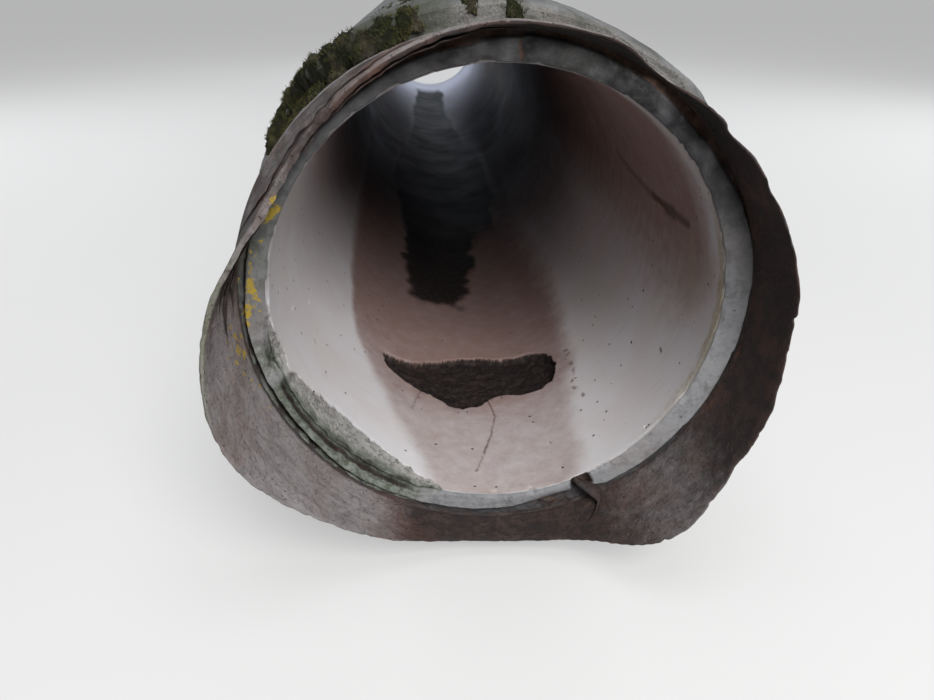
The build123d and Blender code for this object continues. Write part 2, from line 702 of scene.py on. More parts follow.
@dataclass(frozen=True)
class LiningFinish:
    """Smooth spun concrete, stained, with bug holes, rust scars and algae."""

    cream: Colour = (0.73, 0.705, 0.70)
    lavender: Colour = (0.76, 0.75, 0.775)
    tan: Colour = (0.36, 0.28, 0.225)
    stain: Colour = (0.315, 0.212, 0.190)
    end_face: Colour = (0.315, 0.32, 0.335)
    end_dark: Colour = (0.175, 0.175, 0.18)
    grit: Colour = (0.385, 0.38, 0.365)
    grit_dark: Colour = (0.15, 0.145, 0.135)
    dirt: Colour = (0.028, 0.023, 0.022)
    rust: Colour = (0.115, 0.062, 0.043)
    algae: Colour = (0.105, 0.118, 0.092)
    algae_pale: Colour = (0.24, 0.265, 0.235)
    lichen: Colour = (0.43, 0.31, 0.055)
    shadow: Colour = (0.026, 0.025, 0.028)
    ochre: Colour = (0.46, 0.39, 0.255)
    rust_light: Colour = (0.20, 0.115, 0.075)
    dirt_light: Colour = (0.065, 0.050, 0.046)
    silt: Colour = (0.010, 0.010, 0.012)
    hole: Colour = (0.05, 0.042, 0.036)
    # Painted shade for the deep bore, darker than the concrete itself
    damp: Colour = (0.032, 0.034, 0.043)

    def make(self) -> Material:
        """Makes the material, whose mark tan is the floor's stain and pale the end face.

        Returns:
            The material.
        """
        g = Graph("lining_concrete", 0.80, 0.04)
        soft, fine = g.noise(0.13, 5.0, 0.62), g.noise(0.012, 4.0, 0.7)
        tiny = g.noise(0.0035, 3.0, 0.7)
        hoop = g.noise(0.05, 4.0, 0.7, 0.6, (0.35, 5.0, 0.35))
        depth = g.place_along()
        wall = g.mix(g.between(soft, 0.35, 0.68), self.cream, self.lavender)
        hoops = g.times(g.between(hoop, 0.56, 0.80), g.between(depth, 1.3, 0.5))
        wall = g.mix(g.times(hoops, 0.22), wall, self.tan)
        wall = g.cover(wall, self.stain, "tan", g.calmed(g.noise(0.03, 6.0, 0.7), 0.45), 0.42)
        wall = g.cover(wall, self.ochre, "ochre", g.noise(0.009, 6.0, 0.8), 0.30)
        # Painted shade darkens the bore away from both ends, where little light reaches
        damp = g.times(g.between(depth, 1.05, 2.50), g.between(depth, 4.05, 2.75))
        wall = g.mix(g.times(damp, 0.94), wall, self.damp)
        # Small air holes: a few cells hold a pit each
        chance = g.cells(0.021, "Color")
        pit = g.times(g.between(g.cells(0.021), 0.125, 0.075), g.between(chance, 0.60, 0.64))
        speck = g.times(g.between(g.cells(0.008), 0.16, 0.08), g.between(fine, 0.55, 0.62))
        holes = g.most(pit, g.times(speck, 0.45))
        wall = g.mix(g.times(holes, 0.85), wall, self.hole)
        # The cast end face and broken places are grey and gritty
        mottled = g.mix(g.between(fine, 0.38, 0.66), self.end_dark, self.end_face)
        end = g.mix(g.between(g.noise(0.03, 5.0, 0.7), 0.30, 0.62), mottled, self.end_face)
        end = g.tint(end, self.tan, soft, 0.46, 0.62, 0.18)
        wall = g.mix(g.mark("pale"), wall, end)
        wall = g.mix(g.mark("shade"), wall, self.shadow)
        stones = g.mix(g.between(g.cells(0.006, "Color"), 0.2, 0.8), self.grit_dark, self.grit)
        broken = g.mix(g.between(tiny, 0.35, 0.65), stones, self.grit)
        wall = g.cover(wall, broken, "bare", fine, 0.25)
        film = g.mix(g.between(fine, 0.38, 0.66), self.algae, self.algae_pale)
        wall = g.cover(wall, film, "green", g.noise(0.016, 6.0, 0.75), 0.40)
        rusty = g.mix(g.between(fine, 0.42, 0.70), self.rust, self.rust_light)
        wall = g.cover(wall, rusty, "rust", g.noise(0.014, 6.0, 0.75), 0.38)
        # The dark mark is dirt, and also painted shade in the open crack and on the lining's hidden
        # outer face
        dirt_and_gap_shade_mix = g.mix(g.between(fine, 0.40, 0.75), self.dirt, self.dirt_light)
        # Deeper in, the strip along the bore's bottom turns near black
        dirt_and_gap_shade_mix = g.mix(g.between(depth, 0.9, 1.8), dirt_and_gap_shade_mix, self.silt)
        wall = g.cover(wall, dirt_and_gap_shade_mix, "dark", g.noise(0.022, 6.0, 0.75), 0.34)
        spots = g.between(g.noise(0.0055, 5.0, 0.8), 0.28, 0.72)
        wall = g.cover(wall, self.lichen, "lichen", spots, 0.16)
        g.colour(wall)
        gritty = g.most(g.mark("bare"), g.times(g.mark("pale"), 0.40))
        relief = g.times(g.plus(fine, tiny), g.plus(gritty, 0.10))
        g.bump(g.less(relief, g.times(holes, 0.9)), 0.0022)
        g.matt(g.between(soft, 2.2, -1.5))
        return g.material


@dataclass(frozen=True)
class SteelFinish:
    """Old rusted plate: dark scale, red-brown rust, a pale weathered film and some lichen."""

    scale: Colour = (0.029, 0.023, 0.023)
    brown: Colour = (0.055, 0.038, 0.034)
    red: Colour = (0.092, 0.052, 0.041)
    orange: Colour = (0.245, 0.105, 0.045)
    film: Colour = (0.225, 0.198, 0.195)
    film_light: Colour = (0.350, 0.335, 0.340)
    film_red: Colour = (0.150, 0.092, 0.080)
    pit: Colour = (0.018, 0.014, 0.013)
    algae: Colour = (0.150, 0.160, 0.115)
    mortar: Colour = (0.27, 0.26, 0.24)
    lichen: Colour = (0.42, 0.30, 0.05)

    def make(self) -> Material:
        """Makes the material, whose mark pale is the weathered film and bare the mortar left on.

        Returns:
            The material.
        """
        g = Graph("rusty_steel", 0.78, 0.30)
        wide, mid = g.noise(0.09, 6.0, 0.65, 0.4), g.noise(0.022, 6.0, 0.72, 0.3)
        fine = g.noise(0.005, 4.0, 0.75)
        coat = g.mix(g.between(mid, 0.36, 0.62), self.scale, self.brown)
        coat = g.mix(g.between(wide, 0.48, 0.70), coat, self.red)
        coat = g.tint(coat, self.red, fine, 0.56, 0.74, 0.5)
        specks = g.times(g.between(mid, 0.60, 0.72), g.between(fine, 0.50, 0.66))
        coat = g.mix(g.times(specks, 0.45), coat, self.orange)
        layers = g.hooped(0.0075, 9.0)
        film = g.mix(g.calmed(g.between(layers, 0.30, 0.75), 0.55), self.film, self.film_light)
        film = g.tint(film, self.brown, fine, 0.50, 0.68, 0.30)
        film = g.tint(film, self.film_red, wide, 0.46, 0.66, 0.42)
        coat = g.cover(coat, film, "pale", g.noise(0.018, 6.0, 0.78), 0.48)
        coat = g.cover(coat, self.orange, "rust", g.noise(0.01, 6.0, 0.78), 0.30)
        coat = g.cover(coat, self.mortar, "bare", g.noise(0.02, 6.0, 0.75), 0.20)
        coat = g.cover(coat, self.algae, "green", g.noise(0.016, 6.0, 0.78), 0.42)
        pits = g.times(g.between(g.cells(0.007), 0.22, 0.10), g.between(mid, 0.42, 0.50))
        coat = g.mix(g.times(pits, 0.75), coat, self.pit)
        # The dark mark is mostly dark scale, and on the inner face of the upper lip it is painted shade
        coat = g.cover(coat, self.pit, "dark", fine, 0.3)
        spots = g.between(g.noise(0.0055, 5.0, 0.8), 0.28, 0.72)
        coat = g.cover(coat, self.lichen, "lichen", spots, 0.16)
        g.colour(coat)
        flakes = g.between(mid, 0.47, 0.53)
        relief = g.plus(g.times(mid, 0.8), g.times(fine, 0.5))
        relief = g.plus(relief, g.times(flakes, 0.35))
        relief = g.plus(relief, g.times(layers, 0.35))
        g.bump(g.less(relief, g.times(pits, 0.6)), 0.0016)
        g.matt(g.between(mid, -1.0, 1.35))
        return g.material


@dataclass(frozen=True)
class CoatFinish:
    """Weathered grey concrete, streaked, with algae near the bell and earth underneath."""

    grey: Colour = (0.195, 0.200, 0.205)
    light: Colour = (0.31, 0.317, 0.325)
    dark: Colour = (0.075, 0.077, 0.075)
    algae: Colour = (0.066, 0.072, 0.054)
    earth: Colour = (0.13, 0.095, 0.07)
    rust: Colour = (0.16, 0.085, 0.055)
    sand: Colour = (0.28, 0.27, 0.255)

    def make(self) -> Material:
        """Makes the material, whose mark tan is earth and dark the old streaks.

        Returns:
            The material.
        """
        g = Graph("coat_concrete", 0.85, 0.30)
        wide, mid = g.noise(0.24, 6.0, 0.62, 0.3), g.noise(0.03, 6.0, 0.72)
        fine = g.noise(0.006, 4.0, 0.75)
        shell = g.mix(g.between(wide, 0.36, 0.64), self.grey, self.light)
        shell = g.tint(shell, self.dark, mid, 0.45, 0.78, 0.5)
        sandy = g.calmed(g.between(g.noise(0.0025, 3.0, 0.7), 0.3, 0.7), 0.55)
        grit = g.mix(sandy, self.dark, self.sand)
        shell = g.tint(shell, grit, fine, 0.40, 0.75, 0.35)
        streaks = g.noise(0.05, 5.0, 0.7, 0.2, (1.0, 1.0, 0.12))
        aged = g.times(g.mark("dark"), g.between(streaks, 0.30, 0.62))
        shell = g.mix(g.times(aged, 0.75), shell, self.dark)
        shell = g.cover(shell, grit, "bare", mid, 0.25)
        shell = g.cover(shell, self.rust, "rust", g.noise(0.025, 6.0, 0.78), 0.30)
        shell = g.cover(shell, self.earth, "tan", g.noise(0.07, 7.0, 0.72), 0.34)
        shell = g.cover(shell, self.algae, "green", g.noise(0.03, 7.0, 0.78), 0.30)
        g.colour(shell)
        hollow = g.between(g.cells(0.012), 0.20, 0.08)
        relief = g.plus(g.times(mid, 1.1), g.times(fine, 0.7))
        g.bump(g.less(relief, g.times(hollow, 0.25)), 0.0035)
        return g.material


@dataclass(frozen=True)
class MossFinish:
    """Moss, dark green below and olive at its tips."""

    deep: Colour = (0.012, 0.014, 0.007)
    green: Colour = (0.032, 0.040, 0.013)
    olive: Colour = (0.135, 0.130, 0.045)
    brown: Colour = (0.062, 0.052, 0.040)

    def make(self) -> Material:
        """Makes the material, whose mark green tells how near a point is to the tips, raised by a
        painted highlight along the moss's edge.

        Returns:
            The material.
        """
        g = Graph("moss", 0.95, 0.15)
        mid, fine = g.noise(0.035, 5.0, 0.7), g.noise(0.003, 4.0, 0.8)
        clump = g.noise(0.009, 4.0, 0.75)
        body = g.mix(g.between(fine, 0.35, 0.65), self.deep, self.green)
        body = g.mix(g.between(clump, 0.44, 0.58), self.deep, body)
        body = g.tint(body, self.brown, mid, 0.46, 0.62, 0.8)
        tips = g.times(g.between(g.mark("green"), 0.35, 1.0), g.between(fine, 0.30, 0.60))
        g.colour(g.mix(tips, body, self.olive))
        g.bump(g.plus(fine, mid), 0.003)
        return g.material


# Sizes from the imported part


@dataclass(frozen=True)
class PipeSizes:
    """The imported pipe's sizes in metres, read from its nodes and mounts."""

    bore: float
    lining: float
    coat: float
    length: float
    coat_end: float
    spigot_ring: float
    spigot_ring_length: float
    steel_thickness: float = 0.004
    ring_let_in: float = 0.005

    @classmethod
    def read(cls, frame: dict[str, Any]) -> PipeSizes:
        """Reads the sizes.


        Returns:
            The sizes.
        """
        mounts = {mount["name"]: mount for mount in frame["record"]["mounts"]}
        lining_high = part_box("concrete_lining")[1]
        spigot = mounts["spigot"]["dims"]
        return cls(
            bore=mounts["bore"]["dims"]["r_mm"] / 1000.0,
            lining=lining_high.x,
            coat=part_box("outer_coat")[1].x,
            length=lining_high.y,
            coat_end=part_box("outer_coat")[1].y,
            spigot_ring=spigot["r_mm"] / 1000.0,
            spigot_ring_length=spigot["length_mm"] / 1000.0,
        )

    @property
    def steel(self) -> float:
        """The steel cylinder's outer radius."""
        return self.lining + self.steel_thickness

    @property
    def ring_start(self) -> float:
        """Where along the pipe the spigot's ring starts."""
        return self.length - self.spigot_ring_length

    @property
    def ring_inner(self) -> float:
        """The radius where the spigot's ring is let into the lining."""
        return self.lining - self.ring_let_in

    @property
    def ring_seat(self) -> list[tuple[float, float]]:
        """Where steel and lining meet at the spigot, as (radius, y) corners from its end."""
        return [
            (self.ring_inner, self.length),
            (self.ring_inner, self.ring_start),
            (self.lining, self.ring_start - self.ring_let_in),
        ]


class LipProbe:
    """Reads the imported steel's lip, so that the dressed lip has the same form."""

    STATIONS = (0.003, 0.02, 0.04, 0.06, 0.08, 0.10, 0.12, 0.14)
    CLOCK_STEP = 5
    FARTHEST = 0.160
    HALVINGS = 12
    RAY = 0.45

    def __init__(self, node: Object, wall: float) -> None:
        """Probes the lip all round.

        Args:
            node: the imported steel.
            wall: the cylinder's inner radius.
        """
        self.tree = tree_of(node)
        self.wall = wall
        self.reaches = ClockCurve(*[(clock, self._reach(clock)) for clock in range(0, 360, 2)])
        self.rims = [self._rim(clock) for clock in range(0, 360, self.CLOCK_STEP)]

    def _hit(self, clock: float, reach: float) -> float | None:
        """Casts one ray at the lip.

        Args:
            clock: the clock angle.
            reach: how far in front of the lining.

        Returns:
            The lip's inner radius there, or None where it has ended.
        """
        start = Vector((0.0, -reach, 0.0))
        found = self.tree.ray_cast(start, at_clock(clock, 1.0, 0.0), self.RAY)[0]
        return None if found is None else (found - start).length

    def _reach(self, clock: float) -> float:
        """Searches for the lip's edge.

        Args:
            clock: the clock angle.

        Returns:
            How far in front of the lining the lip goes there.
        """
        low, high = self.STATIONS[0], self.FARTHEST
        for _ in range(self.HALVINGS):
            middle = 0.5 * (low + high)
            if self._hit(clock, middle) is None:
                high = middle
            else:
                low = middle
        return low

    def _rim(self, clock: float) -> list[float]:
        """Probes the lip at each station.

        Args:
            clock: the clock angle.

        Returns:
            The inner radii, carried on past the torn edge.
        """
        radii: list[float] = []
        for station in self.STATIONS:
            found = self._hit(clock, station)
            if found is not None:
                radii.append(found)
            elif len(radii) > 1:
                radii.append(2.0 * radii[-1] - radii[-2])
            else:
                radii.append(radii[-1] if radii else self.wall)
        return radii

    def radius(self, clock: float, reach: float) -> float:
        """The lip's inner radius.

        Args:
            clock: the clock angle.
            reach: how far in front of the lining.

        Returns:
            The radius, smooth between the probed places.
        """
        place = (clock % 360.0) / self.CLOCK_STEP
        first = int(place)
        last = len(self.STATIONS) - 1
        index = 0
        while index < last - 1 and self.STATIONS[index + 1] < reach:
            index += 1
        low, high = self.STATIONS[index], self.STATIONS[index + 1]
        share = (reach - low) / (high - low)
        across = []
        for offset in range(-1, 3):
            rim = self.rims[(first + offset) % len(self.rims)]
            across.append(rim[index] + (rim[index + 1] - rim[index]) * share)
        return catmull(across, place - first)


# The lining


@dataclass(frozen=True)
class Streak:
    """A rusty scar that runs along a few (clock angle, y) points on the bore.

    It is mostly dark where dark is set, and comes and goes where patchy is set.
    """

    path: Pairs
    width: float
    strength: float
    dark: bool = False
    patchy: bool = False

    def distance(self, clock: float, y: float, radius: float) -> float:
        """How far a point of the bore is from the scar's line.

        Args:
            clock: the point's clock angle.
            y: its place along the pipe.
            radius: the bore's radius.

        Returns:
            The distance over the bore's wall.
        """
        best = math.inf
        across = math.radians(radius)
        for (clock_a, y_a), (clock_b, y_b) in zip(self.path, self.path[1:]):
            run_u, run_v = apart(clock_b, clock_a) * across, y_b - y_a
            u, v = apart(clock, clock_a) * across, y - y_a
            length = run_u * run_u + run_v * run_v
            share = min(max((u * run_u + v * run_v) / length, 0.0), 1.0)
            best = min(best, math.hypot(u - run_u * share, v - run_v * share))
        return best

    def share(self, clock: float, y: float, radius: float) -> float:
        """How strongly the scar covers a point of the bore, up to its strength."""
        away = self.distance(clock, y, radius)
        return self.strength * (1.0 - ease(0.3 * self.width, self.width, away))


@dataclass
class ConcreteLining:
    """The spun concrete lining: its worn mouth, spalls, stains and bug holes."""

    sizes: PipeSizes
    tree: BVHTree
    around: int = 360
    face_rows: int = 16
    # How far in the worn inner corner reaches, and how deep each kind of damage is
    arris: float = 0.0045
    patch_depth: float = 0.013
    spall_deep: float = 0.0105
    crack_depth: float = 0.016
    edge_depth: float = 0.007
    # The gouge in the end face, by clock angle and radius, and the joint in the cast
    gouge_at: tuple[float, float] = (156.0, 0.313)
    gouge_radius: float = 0.017
    seam_clock: float = 3.7
    # How far along the outside the wall still follows the worn rim
    edge_zone: float = 0.12
    far_chamfer: float = 0.004
    # How close to a scar and to a large hole the bore's mesh is made finer
    scar_zone: float = 0.02
    hole_zone: float = 0.011
    # The box round the patch, in y and clock angle
    patch_along: tuple[float, float] = (0.235, 0.49)
    patch_clocks: tuple[float, float] = (142.0, 217.0)
    # The bore's rows of faces: each run's end in y, and its number of rows
    rows: tuple[tuple[float, int], ...] = ((0.06, 14), (0.24, 14), (0.484, 25), (0.62, 9), (1.2, 16))
    far_rows: int = 18
    outside_rows: tuple[float, ...] = (2.5, 0.5, 0.12, 0.03, 0.012)
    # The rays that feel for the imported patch: their offsets in degrees and y, and their length
    patch_rays: Pairs = ((0, 0), (0.3, 0.001), (-0.3, 0.001), (0.3, -0.001), (-0.3, -0.001))
    patch_ray: float = 0.4

    # How far in from the mouth the spall at the lower left runs
    spall_run: ClockCurve = ClockCurve(
        (0, 0.0), (192, 0.0), (200, 0.016), (206, 0.034), (211, 0.052), (216, 0.067),
        (222, 0.070), (229, 0.081), (235, 0.070), (241, 0.054), (247, 0.034), (251, 0.017),
        (257, 0.028), (263, 0.010), (268, 0.0),
    )
    # How far out the clean grey end face goes; past it the edge is rusty and worn back
    clean_radius: ClockCurve = ClockCurve(
        (0, 0.327), (3, 0.328), (5, 0.332), (11, 0.331), (20, 0.329), (33, 0.326), (45, 0.324),
        (57, 0.327), (67, 0.334), (76, 0.3385), (96, 0.3372), (112, 0.3345), (134, 0.3332),
        (150, 0.3312), (156, 0.320), (163, 0.316), (170, 0.320), (179, 0.326), (192, 0.328),
        (205, 0.331), (215, 0.3325), (235, 0.329), (250, 0.330), (262, 0.3315), (275, 0.3295),
        (285, 0.328), (296, 0.322), (304, 0.317), (309, 0.314), (322, 0.315), (333, 0.319),
        (343, 0.321), (352, 0.321),
    )
    # How much painted shade darkens the end face, most at the top where the lip overhangs it; partly it
    # stands for old dirt
    ring_shade: ClockCurve = ClockCurve(
        (0, 0.86), (20, 0.86), (42, 0.97), (60, 0.82), (78, 0.36), (95, 0.18), (108, 0.0),
        (258, 0.0), (272, 0.30), (290, 0.56), (320, 0.54), (336, 0.70), (350, 0.88),
    )
    # How wide the open crack between the clean face and the rust on the steel is
    crack: ClockCurve = ClockCurve(
        (0, 0.0), (60, 0.0), (75, 0.0010), (95, 0.0008), (106, 0.0022), (118, 0.0040),
        (142, 0.0038), (154, 0.0008), (160, 0.0), (198, 0.0), (205, 0.0022), (215, 0.0035),
        (224, 0.0062), (238, 0.0078), (250, 0.0070), (259, 0.0050), (266, 0.0026),
        (278, 0.0028), (290, 0.002), (305, 0.0),
    )
    # The stained floor's left and right borders: y, and the clock angle there
    stain_left: Pairs = (
        (0.0, 203), (0.10, 208), (0.19, 217), (0.38, 229), (0.67, 238), (1.1, 247), (2.6, 255),
        (5.0, 262),
    )
    stain_right: Pairs = (
        (0.0, 152), (0.20, 149), (0.36, 143), (0.60, 140), (1.0, 135), (2.6, 125), (5.0, 118),
    )
    scars: tuple[Streak, ...] = (
        Streak(((75, 0.60), (78, 0.49), (79.4, 0.366), (79.4, 0.22)), 0.009, 0.52, dark=True),
        Streak(((146, 0.385), (145.8, 0.32), (148.5, 0.255), (146.4, 0.205)), 0.008, 0.55, patchy=True),
        Streak(
            ((177.7, 0.29), (176.2, 0.227), (178.9, 0.162), (182.1, 0.102), (184.6, 0.060)),
            0.0034,
            0.62,
        ),
        Streak(((79.4, 0.35), (79.7, 0.275)), 0.011, 0.70),
        Streak(((79.7, 0.27), (79.2, 0.225)), 0.018, 0.85, dark=True),
        Streak(((79.2, 0.215), (78.6, 0.150)), 0.011, 0.75, dark=True),
        Streak(((197, 0.42), (201, 0.30), (204, 0.22)), 0.0030, 0.40, dark=True),
    )
    # The bore's large air holes: clock angle and y
    holes: Pairs = (
        (279, 0.207), (266, 0.220), (259, 0.145), (242, 0.328), (244, 0.194), (68, 0.109),
        (86.5, 0.040), (117, 0.138), (133, 0.017), (161, 0.114), (164.5, 0.082), (149, 0.108),
        (101, 0.23), (110, 0.31), (124, 0.24), (95, 0.36), (252, 0.26), (271, 0.09),
    )
    hole_radius: float = 0.0032
    # Lichen on the end face: clock angle, radius and size of each spot
    lichen_spots: Triples = (
        (295.2, 0.3075, 0.0075), (293.6, 0.3110, 0.0085), (291.8, 0.3150, 0.0060),
        (276.6, 0.3220, 0.0080), (274.6, 0.3195, 0.0085), (273.2, 0.3160, 0.0055),
        (270.6, 0.3255, 0.0065), (268.8, 0.3285, 0.0085), (266.4, 0.3310, 0.0060),
        (279.4, 0.3215, 0.0040), (282.5, 0.3180, 0.0035), (287.0, 0.3140, 0.0035),
        (272.0, 0.3110, 0.0030), (269.4, 0.3120, 0.0028), (284.0, 0.3240, 0.0035),
    )

    def build(self, material: Material) -> Object:
        """Builds the piece.

        Args:
            material: its finish.

        Returns:
            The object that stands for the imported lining.
        """
        size = self.sizes
        face = [(r, 0.0) for r in ladder(size.lining, (size.bore, self.face_rows))]
        along = ladder(0.0, *self.rows, (size.length - self.far_chamfer, self.far_rows))
        bore = [(size.bore, y) for y in along[1:]]
        back = [(size.bore + self.far_chamfer, size.length), *size.ring_seat]
        outside = [(size.lining, y) for y in self.outside_rows]
        mesh = turned(face + bore + back + outside, self.around)
        for wanted, cuts in (
            (self._near_mouth_break, 1),
            (self._near_seam, 2),
            (self._near_patch, 3),
            (self._near_scar, 2),
        ):
            refine(mesh, wanted, cuts)
        displace(mesh, self._moved)
        return finished("lining", mesh, material, "concrete_lining")

    def _near_mouth_break(self, point: Vector) -> bool:
        """Whether a point is by the spall or the gouge at the mouth."""
        wide = 140.0 < clock_of(point) < 272.0 and point.y < 0.10
        return wide and radius_of(point) < self.sizes.lining + 0.001

    def _near_seam(self, point: Vector) -> bool:
        """Whether a point of the end face is by the joint in the cast."""
        return point.y < ON_PLANE and abs(apart(clock_of(point), self.seam_clock)) < 2.6

    def _near_patch(self, point: Vector) -> bool:
        """Whether a point is by the patch in the bore's floor."""
        on_bore = radius_of(point) < self.sizes.bore + 0.002
        return on_bore and self._in_patch_box(clock_of(point), point.y, 0.0)

    def _in_patch_box(self, clock: float, y: float, spare: float) -> bool:
        """Whether a place is in the box round the patch, spare degrees wider at each side."""
        (near, far), (right, left) = self.patch_along, self.patch_clocks
        return near < y < far and right - spare < clock < left + spare

    def _near_scar(self, point: Vector) -> bool:
        """Looks for the scars and large holes that need a finer mesh.

        Args:
            point: the point on the plain lining.

        Returns:
            Whether it is on the bore and by one of them, where the mesh isn't fine already.
        """
        if radius_of(point) > self.sizes.bore + 0.002 or not 0.005 < point.y < 0.65:
            return False
        if self._near_patch(point) or self._near_mouth_break(point):
            return False
        clock, bore = clock_of(point), self.sizes.bore
        for scar in self.scars:
            away = scar.distance(clock, point.y, bore)
            if 1.0 - ease(0.3 * self.scar_zone, self.scar_zone, away) > 0.05:
                return True
        across = math.radians(bore)
        return any(
            math.hypot(apart(clock, at) * across, point.y - y) < self.hole_zone
            for at, y in self.holes
        )

    def _patch_share(self, clock: float, y: float) -> float:
        """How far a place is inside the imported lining's floor patch.

        Args:
            clock: the clock angle.
            y: the place along the pipe.

        Returns:
            A share from 0 outside to 1 inside, with a ragged border and a blunt left end.
        """
        total = 0.0
        around = at_clock(clock, self.sizes.bore, y)
        clock -= 2.6 * hump(213.0, 7.0, clock) * hump(0.350, 0.050, y)
        clock += 0.9 * grain(around, 0.022, 3.0) + 0.45 * grain(around, 0.008, 7.0)
        y += 0.0045 * grain(around, 0.02, 11.0) + 0.0022 * grain(around, 0.007, 5.0)
        for turn, shift in self.patch_rays:
            start = Vector((0.0, y + shift, 0.0))
            found = self.tree.ray_cast(start, at_clock(clock + turn, 1.0, 0.0), self.patch_ray)[0]
            if found is not None and (found - start).length > self.sizes.bore + 0.004:
                total += 1.0 / len(self.patch_rays)
        return total

    def _spall(self, clock: float) -> float:
        """How far the spall runs in from the mouth.

        Args:
            clock: the clock angle.

        Returns:
            The ragged run in metres, 0 where nothing is broken off.
        """
        run = self.spall_run.at(clock)
        if run < 0.002:
            return 0.0
        edge = at_clock(clock, self.sizes.bore, 0.0)
        return max(run + 0.005 * grain(edge, 0.012, 2.0) + 0.003 * grain(edge, 0.005, 9.0), 0.0)

    def _chip(self, clock: float) -> float:
        """How large the small chips along the inner corner are, from 0 to 1."""
        edge = at_clock(clock, self.sizes.bore, 0.0)
        return ease(0.12, 0.55, grain(edge, 0.028, 21.0) + 0.4 * grain(edge, 0.009, 4.0))

    def _corner_depth(self, clock: float) -> float:
        """How much wider the bore is at its very mouth.

        Args:
            clock: the clock angle.

        Returns:
            The depth of the worn or spalled corner in metres.
        """
        edge = at_clock(clock, self.sizes.bore, 0.0)
        worn = 0.0022 + 0.0012 * grain(edge, 0.05, 1.0) + 0.0022 * self._chip(clock)
        if self._spall(clock) > 0.004:
            broken = self.spall_deep * ease(0.0, 0.03, self._spall(clock))
            worn += broken + 0.002 * grain(edge, 0.016, 6.0)
        return worn

    def _corner_recess(self, clock: float) -> float:
        """How far back the inner corner is worn."""
        spall = self._spall(clock)
        return 0.0022 + 0.003 * self._chip(clock) + 0.014 * ease(0.0, 0.04, spall)

    def _moved(self, point: Vector) -> Dressed:
        """Gives a point's place on the worn lining.

        Args:
            point: the point on the plain lining.

        Returns:
            Its new place, and its marks.
        """
        radius, clock, size = radius_of(point), clock_of(point), self.sizes
        if point.y < ON_PLANE:
            return self._on_face(point, clock, radius)
        if radius < size.bore + 0.001 and point.y < size.length - 0.005:
            return self._on_bore(point, clock)
        end = 0.8 * ease(size.length - 0.002, size.length, point.y)
        if radius < size.lining - 0.001 or point.y > self.edge_zone:
            return point, Marks(pale=end)
        rim = self._on_face(at_clock(clock, radius, 0.0), clock, radius)[0].y
        y = point.y + rim * (1.0 - point.y / self.edge_zone)
        # The hidden outer face by the rim is painted dark: painted shade in the gap under the steel
        return at_clock(clock, radius - 0.0004, y), Marks(dark=1.0)

    def _on_bore(self, point: Vector, clock: float) -> Dressed:
        """A point of the bore's wall, with the marks of its stains.

        Args:
            point: the point on the plain bore.
            clock: its clock angle.

        Returns:
            Its new place, and its marks.
        """
        size, y = self.sizes, point.y
        marks = Marks()
        depth = (0.0005 * grain(point, 0.2) + 0.00018 * grain(point, 0.02, 4.0)) * ease(1.1, 0.6, y)
        corner = self._corner_depth(clock)
        spall = self._spall(clock)
        if spall > 0.004 and y < spall:
            into = 1.0 - y / spall
            broken = (0.0022 + (corner - 0.0022) * into ** 0.8) * ease(0.0, 0.0035, spall - y)
            broken += 0.0012 * grain(point, 0.008, 8.0) * ease(0.0, 0.01, spall - y)
            depth += max(broken, 0.0)
            marks.bare = ease(0.0, 0.003, spall - y)
            low = ease(226.0, 208.0, clock)
            mottle = 0.35 * grain(point, 0.02, 10.0)
            marks.green = (0.85 + 0.1 * low) * ease(0.42 - 0.3 * low, 0.92, into + 0.3 * mottle)
            marks.dark = 0.55 * ease(0.80 - 0.35 * low, 1.0, into + mottle)
        elif y < 0.016:
            worn = 1.0 - ease(0.0, self.arris + 0.008 * self._chip(clock), y)
            depth += corner * worn
            marks.bare = 0.75 * worn
        near_mouth = ease(0.034, 0.010, y + 0.008 * grain(point, 0.03, 15.0))
        earthy = 0.46 * hump(92.0, 34.0, clock) * hump(0.13, 0.15, y)
        marks.ochre = max(0.60 * hump(95.0, 75.0, clock) * near_mouth, earthy)
        depth += self._patch(point, clock, marks)
        marks.tan = self._stain(clock, y, point)
        for scar in self.scars:
            share = scar.share(clock + 0.5 * grain(point, 0.03, 31.0), y, size.bore)
            if scar.patchy:
                share *= ease(-0.25, 0.35, grain(point, 0.018, 32.0))
            if scar.dark:
                marks.at_least(shade=0.75 * share)
                share *= 0.30
            marks.at_least(rust=share)
        across = math.radians(size.bore)
        for at, along in self.holes:
            near = math.hypot(apart(clock, at) * across, y - along)
            if near < 2.0 * self.hole_radius:
                pit = 1.0 - ease(0.3 * self.hole_radius, 1.2 * self.hole_radius, near)
                depth += 0.003 * pit
                marks.at_least(dark=0.95 * pit)
        silt = self._silt(clock, y, point)
        depth -= 0.003 * silt
        marks.at_least(dark=silt)
        shift = self._corner_recess(clock) * (1.0 - min(y / 0.06, 1.0))
        return at_clock(clock, size.bore + depth, y + shift), marks

    def _patch(self, point: Vector, clock: float, marks: Marks) -> float:
        """Gives the spalled patch in the floor its depth and marks.

        Args:
            point: the point on the plain bore.
            clock: its clock angle.
            marks: its marks, changed here inside the patch.

        Returns:
            How deep the patch is at the point.
        """
        if not self._in_patch_box(clock, point.y, 2.0):
            return 0.0
        share = self._patch_share(clock, point.y)
        if share <= 0.0:
            return 0.0
        floor = self.patch_depth + 0.003 * grain(point, 0.03, 12.0) + 0.0022 * rough(point, 0.012)
        marks.bare = share
        ridge = 0.372 + 0.030 * ease(0.10, -0.12, point.x) + 0.012 * grain(point, 0.04, 14.0)
        gravel = hump(ridge, 0.030, point.y) * ease(0.08, -0.02, point.x)
        marks.dark = ease(0.0, 0.4, share) * (1.0 - 0.22 * gravel)
        marks.rust = ease(0.0, 0.4, share) * 0.9
        return share * floor

